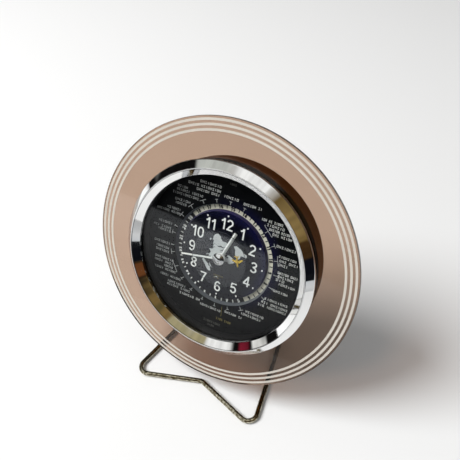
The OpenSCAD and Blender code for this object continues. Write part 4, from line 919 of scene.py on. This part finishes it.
def between(v, lo, hi, soft):
    """1 from one limit to the other, with soft edges."""
    up = span(wt, v, lo - soft, lo + soft, interpolation_type="SMOOTHSTEP")
    return calc(wt, "MULTIPLY", up, span(wt, v, hi + soft, hi - soft, interpolation_type="SMOOTHSTEP"))


def background(colour, strength):
    return node(wt, "Background", {"Color": colour, "Strength": strength}).outputs[0]


# The room as chrome and glass show it: soft patches of colour, each laid over the ones before it.
# Compass from and to, height from and to, colour, softness
CARDS = [
    # the darker room to the right and behind
    (-1, 181, -20, 66, (120, 98, 58), 5), (-181, -112, -20, 60, (34, 28, 24), 6), (100, 181, -20, 60, (44, 33, 22), 8),
    (5, 116, 8, 25, (62, 42, 22), 3), (20, 116, -20, 9, (14, 15, 21), 3), (44, 50, 11, 23, (104, 62, 34), 2),
    (39, 47, 23, 35, (24, 22, 18), 3), (26, 40, 34, 52, (96, 84, 52), 4), (50, 100, 30, 60, (134, 112, 70), 6),
    # white front left, khaki above it, and the ceiling
    (-54, -1, 15, 51, (254, 254, 252), 4), (-48, 22, 56.5, 66, (168, 158, 122), 3),
    (-181, 181, 70, 95, (252, 252, 250), 4),
    # the window wall at the left
    (-118, -66, 40, 66, (196, 198, 192), 5), (-118, -50, -20, 42, (16, 15, 15), 4),
    (-68, -46, 40, 58, (250, 250, 248), 3), (-75, -70, 9, 21, (236, 236, 232), 2),
    (-71, -64.5, 24, 35, (140, 34, 54), 4), (-88, -84, 5, 26, (170, 170, 165), 1.5),
    (-98, -95, 3, 20, (150, 150, 145), 1.5), (-108, -104, 4, 30, (140, 140, 136), 1.5),
    (-59, -57, 6, 24, (120, 120, 116), 1.5),
    # the dark side of the room in front
    (-50, 22, -20, 14, (13, 13, 16), 4),
]
room = node(wt, "RGB", {}).outputs[0]
room.default_value = srgb(196, 194, 190)
for a0, a1, e0, e1, colour, soft in CARDS:
    mask = calc(wt, "MULTIPLY", between(az, a0, a1, soft), between(el, e0, e1, soft / 2))
    room = blend(wt, mask, room, srgb(*colour))
uneven = span(wt, noise(wt, 9.0, 5.0, kind="Generated"), 0.35, 0.65, 0.78, 1.12)
# plain light on the object, the room in mirrors, and a pale backdrop for the eye, also through clear pieces
ray = node(wt, "LightPath", {}).outputs
lighting = mixed(wt, ray["Is Glossy Ray"], background((1.0, 1.0, 1.0, 1), 0.31), background(room, uneven))
direct = calc(wt, "LESS_THAN", ray["Glossy Depth"], 0.5)
direct = calc(wt, "MULTIPLY", calc(wt, "MAXIMUM", ray["Is Camera Ray"], ray["Is Transmission Ray"]), direct)
node(wt, "OutputWorld", {"Surface": mixed(wt, direct, lighting, background((0.95, 0.95, 0.95, 1), 1.0))})

# ---- lamp
lamp = bpy.data.lights.new("key", "AREA")
lamp.shape, lamp.size, lamp.energy = "DISK", 1.5, 86.0
key = add_object("key", lamp)
key.location = (-1.4, -1.0, 2.15)
key.rotation_mode = "QUATERNION"
key.rotation_quaternion = (Vector((0, 0.1, 0.05)) - key.location).to_track_quat("-Z", "Y")
key.visible_glossy = key.visible_camera = False

# ---- camera
# Solved on the circles of the disc, bezel and dials: turn and place of the face frame before the lens
FOCAL_PX, FRAME_PX, SENSOR = 552.498, 460.0, 36.0
CAM_AT = (1.36126, 1.81001, 3.13986)
ROTVEC = Vector((-2.66946454, -0.335364075, 0.583145381))
turn = Matrix.Rotation(ROTVEC.length, 3, ROTVEC.normalized())
right, down, ahead = turn[0], turn[1], turn[2]
to_row = Matrix((FACE_X, FACE_Y, FACE_Z)).transposed()
cam_data = bpy.data.cameras.new("camera")
cam_data.sensor_width = SENSOR
cam_data.lens = FOCAL_PX * SENSOR / FRAME_PX
cam_data.clip_start, cam_data.clip_end = 0.01, 50
cam = add_object("camera", cam_data)
axes = Matrix((to_row @ right, to_row @ -down, to_row @ -ahead)).transposed()
cam.matrix_world = Matrix.Translation(FACE @ (Vector(CAM_AT) * R)) @ axes.to_4x4()
bpy.context.scene.camera = cam
bpy.context.scene.view_settings.view_transform = "Standard"
